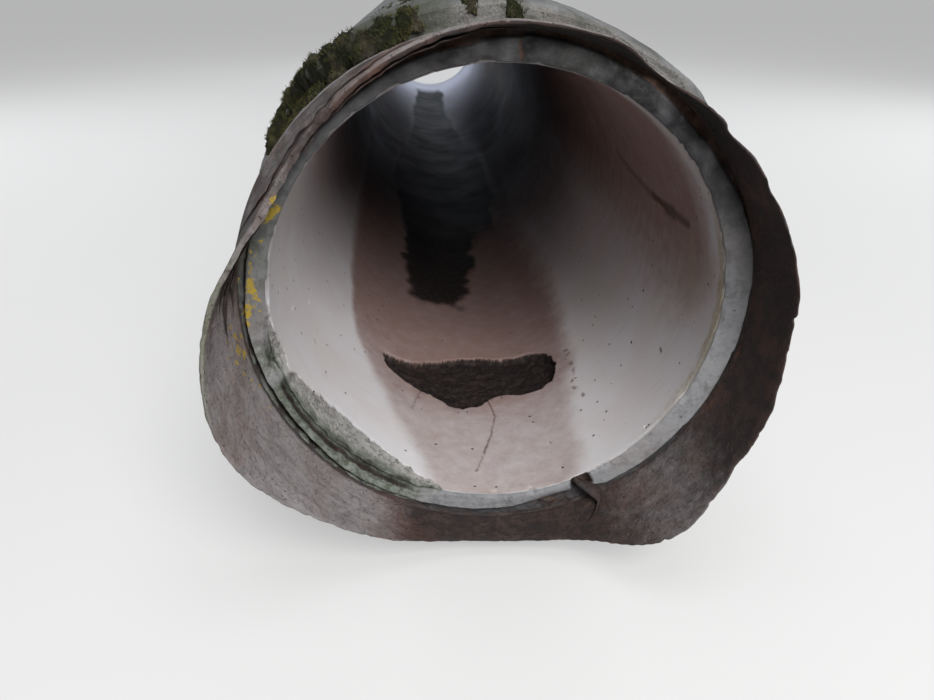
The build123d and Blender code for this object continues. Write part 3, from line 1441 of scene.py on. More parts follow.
    def _stain(self, clock: float, y: float, point: Vector) -> float:
        """How strongly the brown stain covers a point of the bore.

        Args:
            clock: the point's clock angle.
            y: its place along the pipe.
            point: the point itself, for the noise.

        Returns:
            The strongest of the floor's stain, the right wall's and the deep bore's.
        """
        left = self._border(self.stain_left, y) + 1.2 * grain(point, 0.05, 17.0)
        right = self._border(self.stain_right, y) + 2.5 * grain(point, 0.08, 19.0)
        soft = 20.0 * ease(0.45, 1.3, y)
        within = ease(left + 1.5, left - 3.5 - 0.5 * soft - 6.0 * ease(0.45, 0.20, y), clock)
        within *= ease(right - 5.0 - 0.4 * soft, right + 7.0 + soft, clock)
        within *= ease(3.4, 2.2, y)
        strength = 0.52 + 0.30 * ease(0.12, 0.60, y)
        from_mouth = ease(-0.03, 0.14, y + 0.03 * grain(point, 0.09, 18.0))
        wall = 0.78 * ease(128.0, 78.0, clock) * from_mouth
        deep = 0.50 * ease(0.5, 1.4, y) * ease(3.6, 2.6, y)
        halo = 0.22 * hump(183.0, 42.0, clock) * hump(0.36, 0.17, y) * within
        return max(within * strength + halo, wall, deep)

    @staticmethod
    def _border(points: Pairs, y: float) -> float:
        """Where the floor stain's border is.

        Args:
            points: its (y, clock angle) points in order.
            y: the place along the pipe.

        Returns:
            The clock angle there.
        """
        for (y_a, clock_a), (y_b, clock_b) in zip(points, points[1:]):
            if y <= y_b:
                return clock_a + (clock_b - clock_a) * (y - y_a) / (y_b - y_a)
        return points[-1][1]

    def _silt(self, clock: float, y: float, point: Vector) -> float:
        """How strongly the dark strip along the bore's bottom covers a point: old dirt where it starts,
        then a plain dark strip that runs on almost to the far end.

        Args:
            clock: a point's clock angle.
            y: its place along the pipe.
            point: the point itself, for the noise.

        Returns:
            A share from 0 to 1.
        """
        if y < 0.6:
            return 0.0
        wander = 4.5 * grain(point, 0.14, 23.0) + 4.0 * grain(point, 0.045, 27.0)
        half = 13.0 + 6.0 * ease(0.75, 1.1, y) + 14.0 * ease(1.1, 1.6, y) - 16.0 * ease(2.1, 3.3, y)
        middle = 192.5 - 8.5 * ease(0.8, 1.5, y)
        across = ease(half + 4.0, half - 4.0, abs(clock - middle + wander))
        ragged = 0.05 * grain(point, 0.03, 29.0) + 0.05 * grain(point, 0.08, 30.0)
        return 0.95 * across * ease(0.68, 0.78, y + ragged) * ease(4.66, 4.50, y)

    def _on_face(self, point: Vector, clock: float, radius: float) -> Dressed:
        """A point of the end face at the mouth, with its marks.

        Args:
            point: the point on the plain face.
            clock: its clock angle.
            radius: its radius.

        Returns:
            Its new place, and its marks.
        """
        size = self.sizes
        marks = Marks(pale=1.0)
        width = size.lining - size.bore
        corner = self._corner_depth(clock)
        moved = size.lining - (size.lining - radius) * (1.0 - corner / width)
        recess = 0.0008 + 0.0011 * grain(point, 0.05, 33.0) + 0.0006 * rough(point, 0.012, 3, 35.0)
        into = moved - size.bore - corner
        recess += (self._corner_recess(clock) - 0.001) * ease(0.006, 0.0, into)
        # The terrace left by the spall, and the groove along its foot
        spall = ease(0.0, 0.04, self._spall(clock))
        if spall > 0.0:
            groove = 0.007 * ease(0.0085, 0.003, into) + 0.003 * ease(0.022, 0.010, into)
            recess += spall * (groove + 0.0035 + 0.002 * rough(point, 0.014, 3, 37.0))
            marks.bare = spall * 0.9
            marks.green = spall * (0.80 + 0.3 * ease(0.012, 0.004, into))
            marks.shade = spall * (0.12 + 0.12 * grain(point, 0.03, 38.0))
            marks.dark = spall * 0.80 * hump(0.0055, 0.0042, into)
        marks.at_least(green=0.42 * hump(285.0, 40.0, clock))
        marks.at_least(green=0.25 * hump(20.0, 60.0, apart(clock, 0.0)))
        # Painted shade under the lip's overhang, partly old dirt
        marks.at_least(shade=self.ring_shade.at(clock) * (1.0 + 0.25 * rough(point, 0.03, 3, 34.0)))
        marks.ochre = 0.62 * ease(0.007, 0.0, into) * hump(95.0, 75.0, clock)
        if 345.0 < clock or clock < self.seam_clock:
            marks.pale = 1.0 - 0.30 * ease(0.030, 0.006, into)
        for at, out, wide in self.lichen_spots:
            near = math.hypot(math.radians(apart(clock, at)) * moved, moved - out)
            marks.at_least(lichen=0.85 * (1.0 - ease(0.3 * wide, 1.2 * wide, near)))
        specks = ease(0.15, 0.6, grain(point, 0.0065, 50.0)) * hump(277.0, 20.0, clock)
        marks.at_least(lichen=0.55 * specks * ease(0.304, 0.322, moved))
        # Past the clean part the edge is rusty, darkened with painted shade beside the lip, and worn
        # back all but where a crack parts them
        clean = self.clean_radius.at(clock) + 0.0010 * grain(point, 0.018, 39.0)
        beyond = ease(-0.0008, 0.0022, moved - clean)
        gap = self.crack.at(clock)
        worn = self.edge_depth * ease(0.004, 0.001, gap) + 0.0018
        lumps = 0.002 + 0.0035 * hump(166.0, 12.0, clock)
        recess += beyond * (worn + lumps * rough(point, 0.014, 3, 41.0))
        dull = ease(88.0, 122.0, clock) * ease(298.0, 274.0, clock)
        marks.rust = beyond * (0.52 - 0.42 * dull)
        marks.at_least(shade=beyond * (0.70 + 0.10 * dull))
        if gap > 0.0004:
            half = 0.5 * gap * (1.0 + 0.45 * grain(point, 0.02, 43.0))
            off = abs(moved - clean - half - 0.0004)
            opened = ease(half + 0.0006, half - 0.0006, off)
            recess += opened * self.crack_depth
            # The open crack is painted dark: painted shade in the gap
            marks.at_least(dark=opened)
        # The gouge at the lower right
        out = at_clock(self.gouge_at[0], self.gouge_at[1], 0.0) - at_clock(clock, moved, 0.0)
        near = out.length + 0.004 * grain(point, 0.01, 45.0)
        gouged = ease(self.gouge_radius, self.gouge_radius - 0.004, near)
        recess += gouged * (0.011 + 0.003 * rough(point, 0.01, 3, 47.0))
        broken = hump(165.0, 11.0, clock) * ease(0.308, 0.320, moved)
        marks.at_least(rust=0.50 * gouged, shade=0.80 * gouged, dark=0.50 * gouged)
        marks.at_least(rust=0.45 * broken, shade=0.75 * broken, dark=0.42 * broken)
        # The joint in the cast at the top
        seam_at = self.seam_clock + 16.0 * (0.315 - moved)
        seam = math.radians(abs(apart(clock, seam_at + 0.3 * grain(point, 0.012, 49.0)))) * moved
        recess += 0.002 * ease(0.0025, 0.0, seam)
        marks.at_least(rust=0.55 * ease(0.0045, 0.001, seam))
        return at_clock(clock, moved, max(recess, 0.0)), marks


# The steel shell


@dataclass
class SteelShell:
    """The steel cylinder with its torn, dented lip at one end and its spigot ring at the other."""

    sizes: PipeSizes
    probe: LipProbe
    around: int = 640
    lip_rows: int = 26
    plain_lip: float = 0.1
    groove_from: float = 0.028
    groove_width: float = 0.019
    groove_depth: float = 0.007
    plate_rows: int = 4
    # The rows of faces along the wall, fine as far as the coat's break may bare the steel
    bare_rows: tuple[float, int] = (0.42, 36)
    covered_rows: int = 6
    inner_rows: tuple[float, ...] = (2.5, 0.5, 0.1, 0.02)
    bare_run: float = 0.45
    # Nicks in the torn edge: clock angle, half width in degrees, depth
    nicks: Triples = (
        (50.0, 4.6, 0.046), (33.6, 5.0, 0.012), (88.5, 1.3, 0.010), (96.0, 1.0, 0.004),
        (62.0, 3.0, 0.012), (78.0, 4.0, 0.007), (104.0, 3.0, 0.005), (122.0, 4.0, 0.006),
        (113.0, 0.8, 0.004), (131.0, 1.1, 0.005), (143.5, 0.9, 0.006), (212.0, 1.2, 0.005),
        (226.0, 0.9, 0.004), (252.0, 1.4, 0.005), (272.0, 1.0, 0.006), (283.0, 1.3, 0.005),
    )
    # How far rust swells the edge, most at the upper left
    swelling: ClockCurve = ClockCurve(
        (0, 0.0015), (20, 0.0006), (60, 0.0), (240, 0.0), (262, 0.0012), (285, 0.0026),
        (300, 0.0035), (330, 0.0035), (350, 0.0025),
    )
    # Lichen inside the lip: clock angle, reach and size of each spot
    lichen_spots: Triples = (
        (264.2, 0.004, 0.010), (265.4, 0.022, 0.009), (262.4, 0.026, 0.012), (260.2, 0.014, 0.012),
        (260.6, 0.040, 0.008), (266.4, 0.050, 0.006), (263.2, 0.060, 0.005), (258.8, 0.062, 0.006),
        (257.0, 0.030, 0.007), (254.2, 0.020, 0.006), (251.4, 0.006, 0.006), (268.4, 0.034, 0.007),
        (300.2, 0.050, 0.011), (298.0, 0.040, 0.009), (302.6, 0.034, 0.006), (246.0, 0.012, 0.004),
    )

    def build(self, material: Material) -> Object:
        """Builds the piece.

        Args:
            material: its finish.

        Returns:
            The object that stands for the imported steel.
        """
        size = self.sizes
        groove_end = size.length - self.groove_from
        groove_start = groove_end - self.groove_width
        floor = size.spigot_ring - self.groove_depth
        inner_lip = [(size.lining, y) for y in ladder(0.0, (-self.plain_lip, self.lip_rows))]
        across = ladder(size.lining, (size.steel, self.plate_rows))[1:-1]
        edge = [(radius, -self.plain_lip) for radius in across]
        outer_lip = [(size.steel, y) for y in ladder(-self.plain_lip, (0.0, self.lip_rows))]
        along = ladder(0.0, self.bare_rows, (size.ring_start, self.covered_rows))
        wall = [(size.steel, y) for y in along[1:]]
        spigot = [
            (size.spigot_ring, size.ring_start), (size.spigot_ring, groove_start - 0.02),
            (size.spigot_ring, groove_start), (floor, groove_start), (floor, groove_end),
            (size.spigot_ring, groove_end), (size.spigot_ring, size.length), *size.ring_seat,
        ]
        inner_wall = [(size.lining, y) for y in self.inner_rows]
        mesh = turned(inner_lip + edge + outer_lip + wall + spigot + inner_wall, self.around)
        displace(mesh, self._moved)
        return finished("steel_cylinder", mesh, material, "steel_shell")

    def edge_reach(self, clock: float) -> float:
        """How far the ragged edge goes in front of the lining.

        Args:
            clock: the clock angle.

        Returns:
            The reach in metres.
        """
        edge = at_clock(clock, self.sizes.steel, 0.0)
        cut = 0.0022 * (1.0 + grain(edge, 0.018, 51.0)) + 0.0012 * (1.0 + grain(edge, 0.006, 53.0))
        for at, half, depth in self.nicks:
            cut += depth * (1.0 - ease(0.0, half, abs(apart(clock, at))))
        return self.probe.reaches.at(clock) - 0.6 * cut

    def lip_point(self, clock: float, reach: float, skin: Skin) -> Vector:
        """A point of the lip's surface.

        Args:
            clock: the clock angle.
            reach: how far in front of the lining.
            skin: the inner or the outer side.

        Returns:
            The point, with the plate's dents and rust scale.
        """
        radius = self.probe.radius(clock, reach)
        flat = at_clock(clock, self.sizes.steel, -reach)
        free = ease(0.0, 0.03, reach)
        radius += free * (0.0013 * grain(flat, 0.075, 61.0) + 0.0007 * grain(flat, 0.028, 63.0))
        scale = 0.00045 * grain(flat, 0.011, 65.0) + 0.0004 * ease(0.05, 0.12, grain(flat, 0.024, 67.0))
        edge = self.edge_reach(clock)
        near_edge = ease(0.035, 0.0, edge - reach)
        swell = self.swelling.at(clock) * near_edge * (1.0 + 0.6 * grain(flat, 0.016, 69.0))
        thin = 0.0009 * ease(0.006, 0.0, edge - reach)
        if skin is Skin.INNER:
            return at_clock(clock, radius - free * (scale + swell) + thin, -reach)
        grown = self.sizes.steel_thickness + free * (0.8 * scale + 0.6 * swell) - thin
        return at_clock(clock, radius + grown, -reach)

    def _moved(self, point: Vector) -> Dressed:
        """Gives a point's place on the real steel.

        Args:
            point: the point on the plain shell.

        Returns:
            Its new place, and its marks.
        """
        clock, radius, size = clock_of(point), radius_of(point), self.sizes
        if point.y < -ON_PLANE:
            return self._on_lip(point, clock, radius)
        marks = Marks(pale=0.25 + 0.6 * hump(338.0, 50.0, clock) * ease(0.06, 0.02, point.y))
        if radius < size.steel - 0.001 or point.y > self.bare_run:
            if point.y > 4.0:
                marks.pale = 0.35 + 0.3 * grain(point, 0.1, 71.0)
            return point, marks
        # The bare cylinder where the coat is broken away keeps some mortar
        marks.bare = 0.62 * ease(-0.15, 0.35, rough(point, 0.07, 4, 73.0)) * ease(0.0, 0.02, point.y)
        marks.rust = 0.35 * ease(0.1, 0.5, grain(point, 0.05, 75.0))
        grown = ease(0.0, 0.01, point.y) * (
            0.0012 * marks.bare + 0.0005 * grain(point, 0.014, 77.0) * ease(0.42, 0.36, point.y)
        )
        return at_clock(clock, radius + grown, point.y), marks

    def _on_lip(self, point: Vector, clock: float, radius: float) -> Dressed:
        """A point of the lip, with its marks.

        Args:
            point: the point on the plain lip.
            clock: its clock angle.
            radius: its radius there, which tells the side.

        Returns:
            Its new place, and its marks.
        """
        size = self.sizes
        share = -point.y / self.plain_lip
        reach = share * self.edge_reach(clock)
        inner = self.lip_point(clock, reach, Skin.INNER)
        outer = self.lip_point(clock, reach, Skin.OUTER)
        through = min(max((radius - size.lining) / size.steel_thickness, 0.0), 1.0)
        place = inner.lerp(outer, through)
        if 0.01 < through < 0.99:
            place.y -= 0.0008 + 0.0008 * grain(place, 0.006, 79.0)
        return place, self._lip_marks(place, clock, reach, through, share)

    def _lip_marks(
        self, place: Vector, clock: float, reach: float, through: float, share: float
    ) -> Marks:
        """The lip's marks: weathered film, rust, algae and lichen.

        Args:
            place: the point.
            clock: its clock angle.
            reach: how far in front of the lining it is.
            through: 0 on the inner side, 1 on the outer.
            share: how far it is along the lip, 1 at the edge.

        Returns:
            The marks.
        """
        marks = Marks()
        patchy = 0.25 * rough(place, 0.05, 4, 81.0)
        lobe = ease(196.0, 214.0, clock) * ease(292.0, 262.0, clock)
        drawn = Vector((0.11 * clock, reach / 0.0042, 0.0))
        strips = ease(0.05, 0.45, noise.noise(drawn)) * hump(289.0, 26.0, clock)
        right_low = 0.46 * hump(137.0, 26.0, clock)
        marks.pale = max(0.84 * lobe, right_low, 0.02) + patchy * (0.3 + 0.7 * lobe)
        if through > 0.5:
            root = ease(0.016, 0.006, reach)
            layered = ease(-0.25, 0.3, noise.noise(drawn)) * hump(306.0, 26.0, clock)
            crown = 0.66 * ease(48.0, 22.0, abs(apart(clock, 358.0))) * ease(0.30, 0.72, share)
            upper = max(0.80 * root, 0.60 * layered, crown) + 0.3 * patchy
            marks.bare = 0.36 * crown
            marks.dark = 0.50 * ease(0.66, 0.30, share) * ease(75.0, 45.0, abs(apart(clock, 350.0)))
            marks.pale = upper if clock > 285.0 or clock < 45.0 else 0.45 + patchy
            marks.green = 0.35 * ease(0.0, 0.5, rough(place, 0.06, 4, 83.0)) * hump(300.0, 60.0, clock)
        rim = ease(0.88, 1.0, share)
        marks.at_least(pale=0.62 * rim * hump(285.0, 45.0, clock))
        marks.at_least(green=0.62 * rim * hump(272.0, 30.0, clock))
        short_of_edge = ease(1.0, 0.9, share)
        marks.pale -= 0.55 * strips * short_of_edge
        marks.at_least(dark=0.35 * strips * short_of_edge)
        foot = ease(0.018, 0.004, reach)
        stained = max(hump(112.0, 26.0, clock), 0.45 * hump(160.0, 30.0, clock), 0.15 * lobe)
        marks.rust = 0.50 * foot * (0.6 + grain(place, 0.03, 85.0)) * stained
        if through < 0.5:
            marks.at_least(dark=0.7 * ease(0.006, 0.0, reach))
            # Painted shade on the inner face of the upper lip, under its overhang
            marks.at_least(dark=0.85 * ease(66.0, 34.0, abs(apart(clock, 8.0))) * short_of_edge)
        if through < 0.6:
            across = math.radians(radius_of(place))
            for at, out, wide in self.lichen_spots:
                near = math.hypot(apart(clock, at) * across, reach - out)
                marks.at_least(lichen=0.72 * (1.0 - ease(0.2 * wide, wide, near)))
            specks = ease(0.10, 0.55, grain(place, 0.0065, 86.0)) * hump(264.0, 11.0, clock)
            marks.at_least(lichen=0.60 * specks * ease(0.075, 0.030, reach))
        return marks


@dataclass
class RustLayer:
    """A leaf of rust that has lifted off the lip."""

    name: str
    shell: SteelShell
    clocks: tuple[float, float]
    reaches: tuple[float, float]
    lift: float
    thickness: float
    seed: float
    columns_per_degree: float = 1.6
    rows: int = 9

    def build(self, material: Material) -> Object:
        """Builds the leaf.

        Args:
            material: the steel's finish.

        Returns:
            The new piece.
        """
        start, end = self.clocks
        columns = max(int(abs(end - start) * self.columns_per_degree), 12)
        mesh = sheet(columns, self.rows, self._place, self.thickness)
        displace(mesh, self._marked)
        return finished(self.name, mesh, material)

    def _place(self, along: float, out: float) -> Vector:
        """Gives a point of the leaf.

        Args:
            along: its share of the way round the lip.
            out: its share of the way out to the leaf's edge.

        Returns:
            The point, lifted off the lip's nearer side.
        """
        start, end = self.clocks
        clock = start + (end - start) * along
        taper = ease(0.0, 0.30, along) * ease(1.0, 0.70, along)
        edge = at_clock(clock, PLATE_RADIUS, 0.0)
        low, high = self.reaches
        waves = 0.6 * grain(edge, 0.03, self.seed) + 0.4 * grain(edge, 0.01, self.seed)
        ragged = high - (high - low) * (0.12 + 0.28 * waves)
        share = low + (max(ragged, low + 0.05) - low) * out * (0.04 + 0.96 * taper)
        reach = share * self.shell.edge_reach(clock)
        skin = Skin.OUTER if self.lift > 0.0 else Skin.INNER
        surface = self.shell.lip_point(clock, reach, skin)
        wave = 1.0 + 0.5 * grain(edge, 0.04, self.seed + 5.0)
        lifted = (self.lift * wave * (0.25 + 0.75 * out)) * (0.2 + 0.8 * taper)
        return at_clock(clock, radius_of(surface) + lifted, surface.y)

    def _marked(self, point: Vector) -> Dressed:
        """The leaf's marks: film on its back, rust elsewhere."""
        patchy = 0.3 * rough(point, 0.03, 4, self.seed)
        return point, Marks(pale=(0.22 if self.lift > 0.0 else 0.14) + patchy)


@dataclass
class TornStrip:
    """A narrow strip of plate torn from the lip's foot, curled in over the lining's end."""

    # Both edges of the strip as (clock angle, radius, reach in front of the lining)
    against: Triples = (
        (157.4, 0.2975, 0.000), (156.4, 0.3020, 0.001), (154.9, 0.3095, 0.001), (153.6, 0.3185, 0.001),
        (152.5, 0.3275, 0.002), (152.2, 0.3350, 0.005), (153.2, 0.3400, 0.014), (155.6, 0.3440, 0.030),
        (158.5, 0.3455, 0.046),
    )
    outward: Triples = (
        (157.6, 0.2985, 0.003), (157.0, 0.3050, 0.009), (156.0, 0.3130, 0.014), (155.1, 0.3215, 0.018),
        (154.4, 0.3290, 0.021), (154.3, 0.3350, 0.024), (155.3, 0.3395, 0.034), (157.6, 0.3430, 0.048),
        (160.0, 0.3450, 0.058),
    )
    thickness: float = 0.0024
    grid: tuple[int, int] = (48, 8)
    bent_toward: Place = (0.5, -0.4, 0.75)

    def build(self, material: Material) -> Object:
        """Builds the strip.

        Args:
            material: the steel's finish.

        Returns:
            The new piece.
        """
        mesh = sheet(*self.grid, self._place, self.thickness)
        displace(mesh, lambda point: (point, Marks(dark=0.25 + 0.3 * grain(point, 0.012, 135.0))))
        return finished("torn_strip", mesh, material)

    def _place(self, along: float, across: float) -> Vector:
        """Gives a point of the strip.

        Args:
            along: its share of the way along the strip.
            across: its share of the way from the lining to the free edge.

        Returns:
            The point, on a strip that is bent across and ragged at its free edge.
        """
        one, other = self._edge(self.against, along), self._edge(self.outward, along)
        place = one.lerp(other, across)
        bend = 0.0030 * math.sin(math.pi * across) + 0.0012 * grain(place, 0.007, 131.0)
        place += bend * Vector(self.bent_toward)
        place.y -= 0.0015 * across * (1.0 + grain(place, 0.004, 133.0))
        return place

    @staticmethod
    def _edge(points: Triples, share: float) -> Vector:
        """Follows one edge of the strip on a smooth curve.

        Args:
            points: the edge's (clock angle, radius, reach) points.
            share: how far along it.

        Returns:
            The point there.
        """
        place = share * (len(points) - 1)
        first = min(int(place), len(points) - 2)
        near = [points[min(max(first + shift, 0), len(points) - 1)] for shift in (-1, 0, 1, 2)]
        clock, radius, reach = (catmull([p[i] for p in near], place - first) for i in range(3))
        return at_clock(clock, radius, -reach)


# The outer coat


@dataclass
class OuterCoat:
    """The concrete coat outside the steel, broken away beside the bell."""

    sizes: PipeSizes
    tree: BVHTree
    around: int = 420
    near_zone: float = 0.45
    end_taper: float = 0.014
    worn_thin: float = 0.011
    worn_run: float = 0.30
    face_rows: int = 9
    # The rows of faces by the edge, up to the plain part, and along that
    edge_rows: tuple[float, int] = (0.06, 14)
    near_rows: int = 40
    plain_rows: int = 62
    edges: ClockCurve = field(init=False)

    def __post_init__(self) -> None:
        """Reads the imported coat's broken edge with rays along the pipe."""
        middle = 0.5 * (self.sizes.steel + self.sizes.coat)
        pairs = []
        for clock in range(0, 360, 2):
            start = at_clock(clock, middle, -0.2)
            found = self.tree.ray_cast(start, Vector(AXIS), 2.0)[0]
            pairs.append((clock, found.y if found is not None else 0.01))
        self.edges = ClockCurve(*pairs)

    def build(self, material: Material) -> Object:
        """Builds the piece.

        Args:
            material: its finish.

        Returns:
            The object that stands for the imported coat.
        """
        size = self.sizes
        face = [(r, 0.0) for r in ladder(size.steel, (size.coat, self.face_rows))]
        end = size.coat_end
        near, plain = (self.near_zone, self.near_rows), (end - self.end_taper, self.plain_rows)
        skin = [(size.coat, y) for y in ladder(0.0, self.edge_rows, near, plain)[1:]]
        tail = [(size.coat - self.end_taper, end), (size.steel + 0.008, end), (size.steel, end)]
        inside = [(size.steel, y) for y in (3.0, 1.0, self.near_zone, 0.2)]
        mesh = turned(face + skin + tail + inside, self.around)
        displace(mesh, self._moved)
        return finished("coat", mesh, material, "outer_coat")

    def edge(self, clock: float) -> float:
        """Where the coat's ragged edge is.

        Args:
            clock: the clock angle.

        Returns:
            Its y there.
        """
        at = at_clock(clock, self.sizes.coat, 0.0)
        ragged = 0.004 * (1.0 + grain(at, 0.035, 91.0)) + 0.0022 * (1.0 + grain(at, 0.011, 93.0))
        return self.edges.at(clock) + ragged

    def surface(self, clock: float, y: float) -> float:
        """Where the coat's outer surface is.

        Args:
            clock: the clock angle.
            y: the place along the pipe.

        Returns:
            Its radius there, smaller by the broken edge and where the coat is worn thin.
        """
        size = self.sizes
        at = at_clock(clock, size.coat, y)
        radius = size.coat - 0.0022 + 0.0011 * grain(at, 0.16, 95.0) + 0.0007 * grain(at, 0.04, 97.0)
        radius += 0.0005 * rough(at, 0.012, 3, 99.0) + 0.0014 * hump(180.0, 12.0, clock)
        past = max(y - self.edge(clock), 0.0)
        broken = 0.011 + 0.006 * grain(at, 0.05, 101.0)
        radius -= broken * math.exp(-past / (0.011 + 0.006 * grain(at, 0.03, 103.0)))
        radius -= self.worn_thin * hump(30.0, 30.0, clock) ** 0.5 * ease(self.worn_run, 0.0, past)
        return min(radius, size.coat - 0.0002)

    def _moved(self, point: Vector) -> Dressed:
        """Gives a point's place on the real coat.

        Args:
            point: the point on the plain coat.

        Returns:
            Its new place, and its marks.
        """
        size = self.sizes
        clock, radius = clock_of(point), radius_of(point)
        start = self.edge(clock)
        y = point.y
        if y < self.near_zone:
            y = start + y * (self.near_zone - start) / self.near_zone
        marks = self._marks(point, clock, y, start)
        if radius < size.steel + 0.001:
            return at_clock(clock, radius + 0.0003, y), marks
        if point.y < ON_PLANE:
            share = (radius - size.steel) / (size.coat - size.steel)
            top = self.surface(clock, y)
            bulge = 0.004 * rough(at_clock(clock, radius, 0.0), 0.016, 3, 105.0) * (1.0 - share)
            marks.bare = 0.9
            return at_clock(clock, size.steel + share * (top - size.steel), y + bulge), marks
        if point.y > size.coat_end - 1e-4:
            return at_clock(clock, radius, y), Marks(bare=0.5)
        return at_clock(clock, self.surface(clock, y), y), marks

    def _marks(self, point: Vector, clock: float, y: float, start: float) -> Marks:
        """The coat's marks: old streaks, earth underneath, algae by the bell.

        Args:
            point: the point on the plain coat.
            clock: its clock angle.
            y: its place along the pipe.
            start: where the coat starts there.

        Returns:
            The marks.
        """
        marks = Marks()
        side = abs(apart(clock, 180.0))
        wander = 7.0 * grain(point, 0.35, 107.0) + 4.0 * grain(point, 0.1, 109.0)
        marks.tan = 0.95 * ease(74.0, 58.0, side + wander)
        weathered = 0.35 + 0.5 * ease(120.0, 70.0, abs(apart(clock, 0.0)))
        weathered += 0.3 * grain(point, 0.3, 111.0)
        marks.dark = weathered * (1.0 - 0.45 * ease(0.4, 1.6, y))
        past = y - start
        marks.bare = 0.6 * ease(0.014, 0.002, past)
        marks.rust = 0.35 * ease(0.02, 0.0, past) * ease(0.1, 0.5, grain(point, 0.05, 113.0))
        top_left = hump(325.0, 52.0, clock) * ease(0.55, 0.10, past)
        crown = 0.35 * hump(0.0, 75.0, apart(clock, 0.0))
        marks.green = max(0.95 * top_left, crown * ease(3.5, 0.0, y))
        marks.green += 0.30 * rough(point, 0.05, 4, 115.0)
        return marks


# Moss


@dataclass(frozen=True)
class MossBed:
    """A place where moss grows thick: its middle by clock angle and y, and how far it spreads."""

    clock: float
    y: float
    wide: float
    long: float
    strength: float


@dataclass
class Moss:
    """A low carpet of moss on the coat's broken edge, in ragged islands with short shoots."""

    coat: OuterCoat
    limit: float
    beds: tuple[MossBed, ...] = (
        MossBed(299.0, 0.335, 0.055, 0.050, 1.20),
        MossBed(306.0, 0.300, 0.048, 0.120, 1.15),
        MossBed(313.0, 0.200, 0.036, 0.120, 1.12),
        MossBed(319.0, 0.110, 0.033, 0.090, 1.08),
        MossBed(325.0, 0.070, 0.026, 0.050, 0.95),
        MossBed(306.0, 0.600, 0.060, 0.300, 0.78),
        MossBed(329.0, 0.050, 0.026, 0.034, 1.05),
        MossBed(333.5, 0.032, 0.022, 0.022, 1.00),
        MossBed(337.5, 0.026, 0.022, 0.020, 1.05),
        MossBed(342.0, 0.016, 0.020, 0.020, 1.10),
        MossBed(354.0, 0.020, 0.014, 0.013, 1.05),
        MossBed(2.4, 0.021, 0.013, 0.012, 1.05),
        MossBed(345.0, 0.400, 0.070, 0.260, 0.45),
        MossBed(18.0, 0.900, 0.080, 0.500, 0.40),
    )
    # The stretch of the coat that may be grown over, round and along the pipe
    clocks: tuple[float, float] = (291.0, 390.0)
    run: float = 1.6
    grid: tuple[int, int] = (230, 190)
    thickness: float = 0.0022
    tallest: float = 0.0075
    tufts: int = 520
    kinds: int = 4
    shoots: int = 12
    shoot_radius: float = 0.00055
    # How deep the shoots stand in the carpet
    rooted: float = 0.0012
    seed: int = 11

    def build(self, material: Material) -> list[Object]:
        """Builds the carpet and the shoots.

        Args:
            material: their finish.

        Returns:
            The two pieces.
        """
        carpet = bmesh.new()
        columns, rows = self.grid
        bmesh.ops.create_grid(carpet, x_segments=columns, y_segments=rows, size=0.5)
        bare = []
        for vert in carpet.verts:
            clock, y = self._spread(vert.co.x + 0.5, vert.co.y + 0.5)
            cover = self._cover(clock, y)
            vert.co = self._place(clock, y, cover)
            if cover < 0.0:
                bare.append(vert)
        bmesh.ops.delete(carpet, geom=bare, context="VERTS")
        thicken(carpet, self.thickness)
        pieces = []
        for name, mesh, least in (
            ("moss_carpet", carpet, 0.30),
            ("moss_shoots", self._planted(), 0.70),
        ):
            displace(mesh, lambda point: (self._kept(point), Marks(green=self._bright(point, least))))
            pieces.append(finished(name, mesh, material))
        return pieces

    def _spread(self, across: float, along: float) -> tuple[float, float]:
        """A clock angle and y from shares of the carpet, finer near the bell."""
        start, end = self.clocks
        return (start + (end - start) * across) % 360.0, 0.006 + self.run * along ** 1.7

    def _cover(self, clock: float, y: float) -> float:
        """How thick the moss is.

        Args:
            clock: the clock angle.
            y: the place along the pipe.

        Returns:
            The thickness as a share, below 0 where there is none.
        """
        at = at_clock(clock, self.coat.sizes.coat, y)
        grown = 0.0
        for bed in self.beds:
            across = math.radians(apart(clock, bed.clock)) * self.coat.sizes.coat / bed.wide
            spread = math.exp(-across * across - ((y - bed.y) / bed.long) ** 2)
            grown = max(grown, bed.strength * spread)
        broken = 0.50 * rough(at, 0.022, 4, 121.0) + 0.25 * grain(at, 0.07, 123.0)
        return grown + broken - 0.44

    def _ground(self, clock: float, y: float) -> float:
        """What the moss grows on.

        Args:
            clock: the clock angle.
            y: the place along the pipe.

        Returns:
            The radius of the coat, or of the bare steel where the coat is broken away.
        """
        past = y - self.coat.edge(clock)
        steel = self.coat.sizes.steel + 0.001
        top = self.coat.surface(clock, max(y, self.coat.edge(clock)))
        return steel + (top - steel) * ease(-0.014, 0.004, past)

    def _place(self, clock: float, y: float, cover: float) -> Vector:
        """Gives a point of the carpet's top.

        Args:
            clock: the clock angle.
            y: the place along the pipe.
            cover: how thick the moss is there.

        Returns:
            The point, kept inside the pipe's own box.
        """
        at = at_clock(clock, self.coat.sizes.coat, y)
        lumps = 1.0 + 0.5 * grain(at, 0.013, 125.0) + 0.45 * grain(at, 0.0055, 127.0)
        height = self.tallest * ease(0.0, 0.50, cover) * lumps - 0.0010
        turn = math.radians(clock)
        room = self.limit / max(abs(math.sin(turn)), abs(math.cos(turn)))
        return at_clock(clock, min(self._ground(clock, y) + height, room), y)

    def _bright(self, point: Vector, least: float) -> float:
        """How light a green the moss is: lighter on the shoots, and lightest round clock 300, where the
        extra is a painted highlight along the moss's edge.
        """
        # Painted highlight along the moss's edge round clock 300
        side = hump(300.0, 22.0, clock_of(point))
        return least + 0.55 * grain(point, 0.013) + 0.25 * grain(point, 0.05) + 0.25 * side

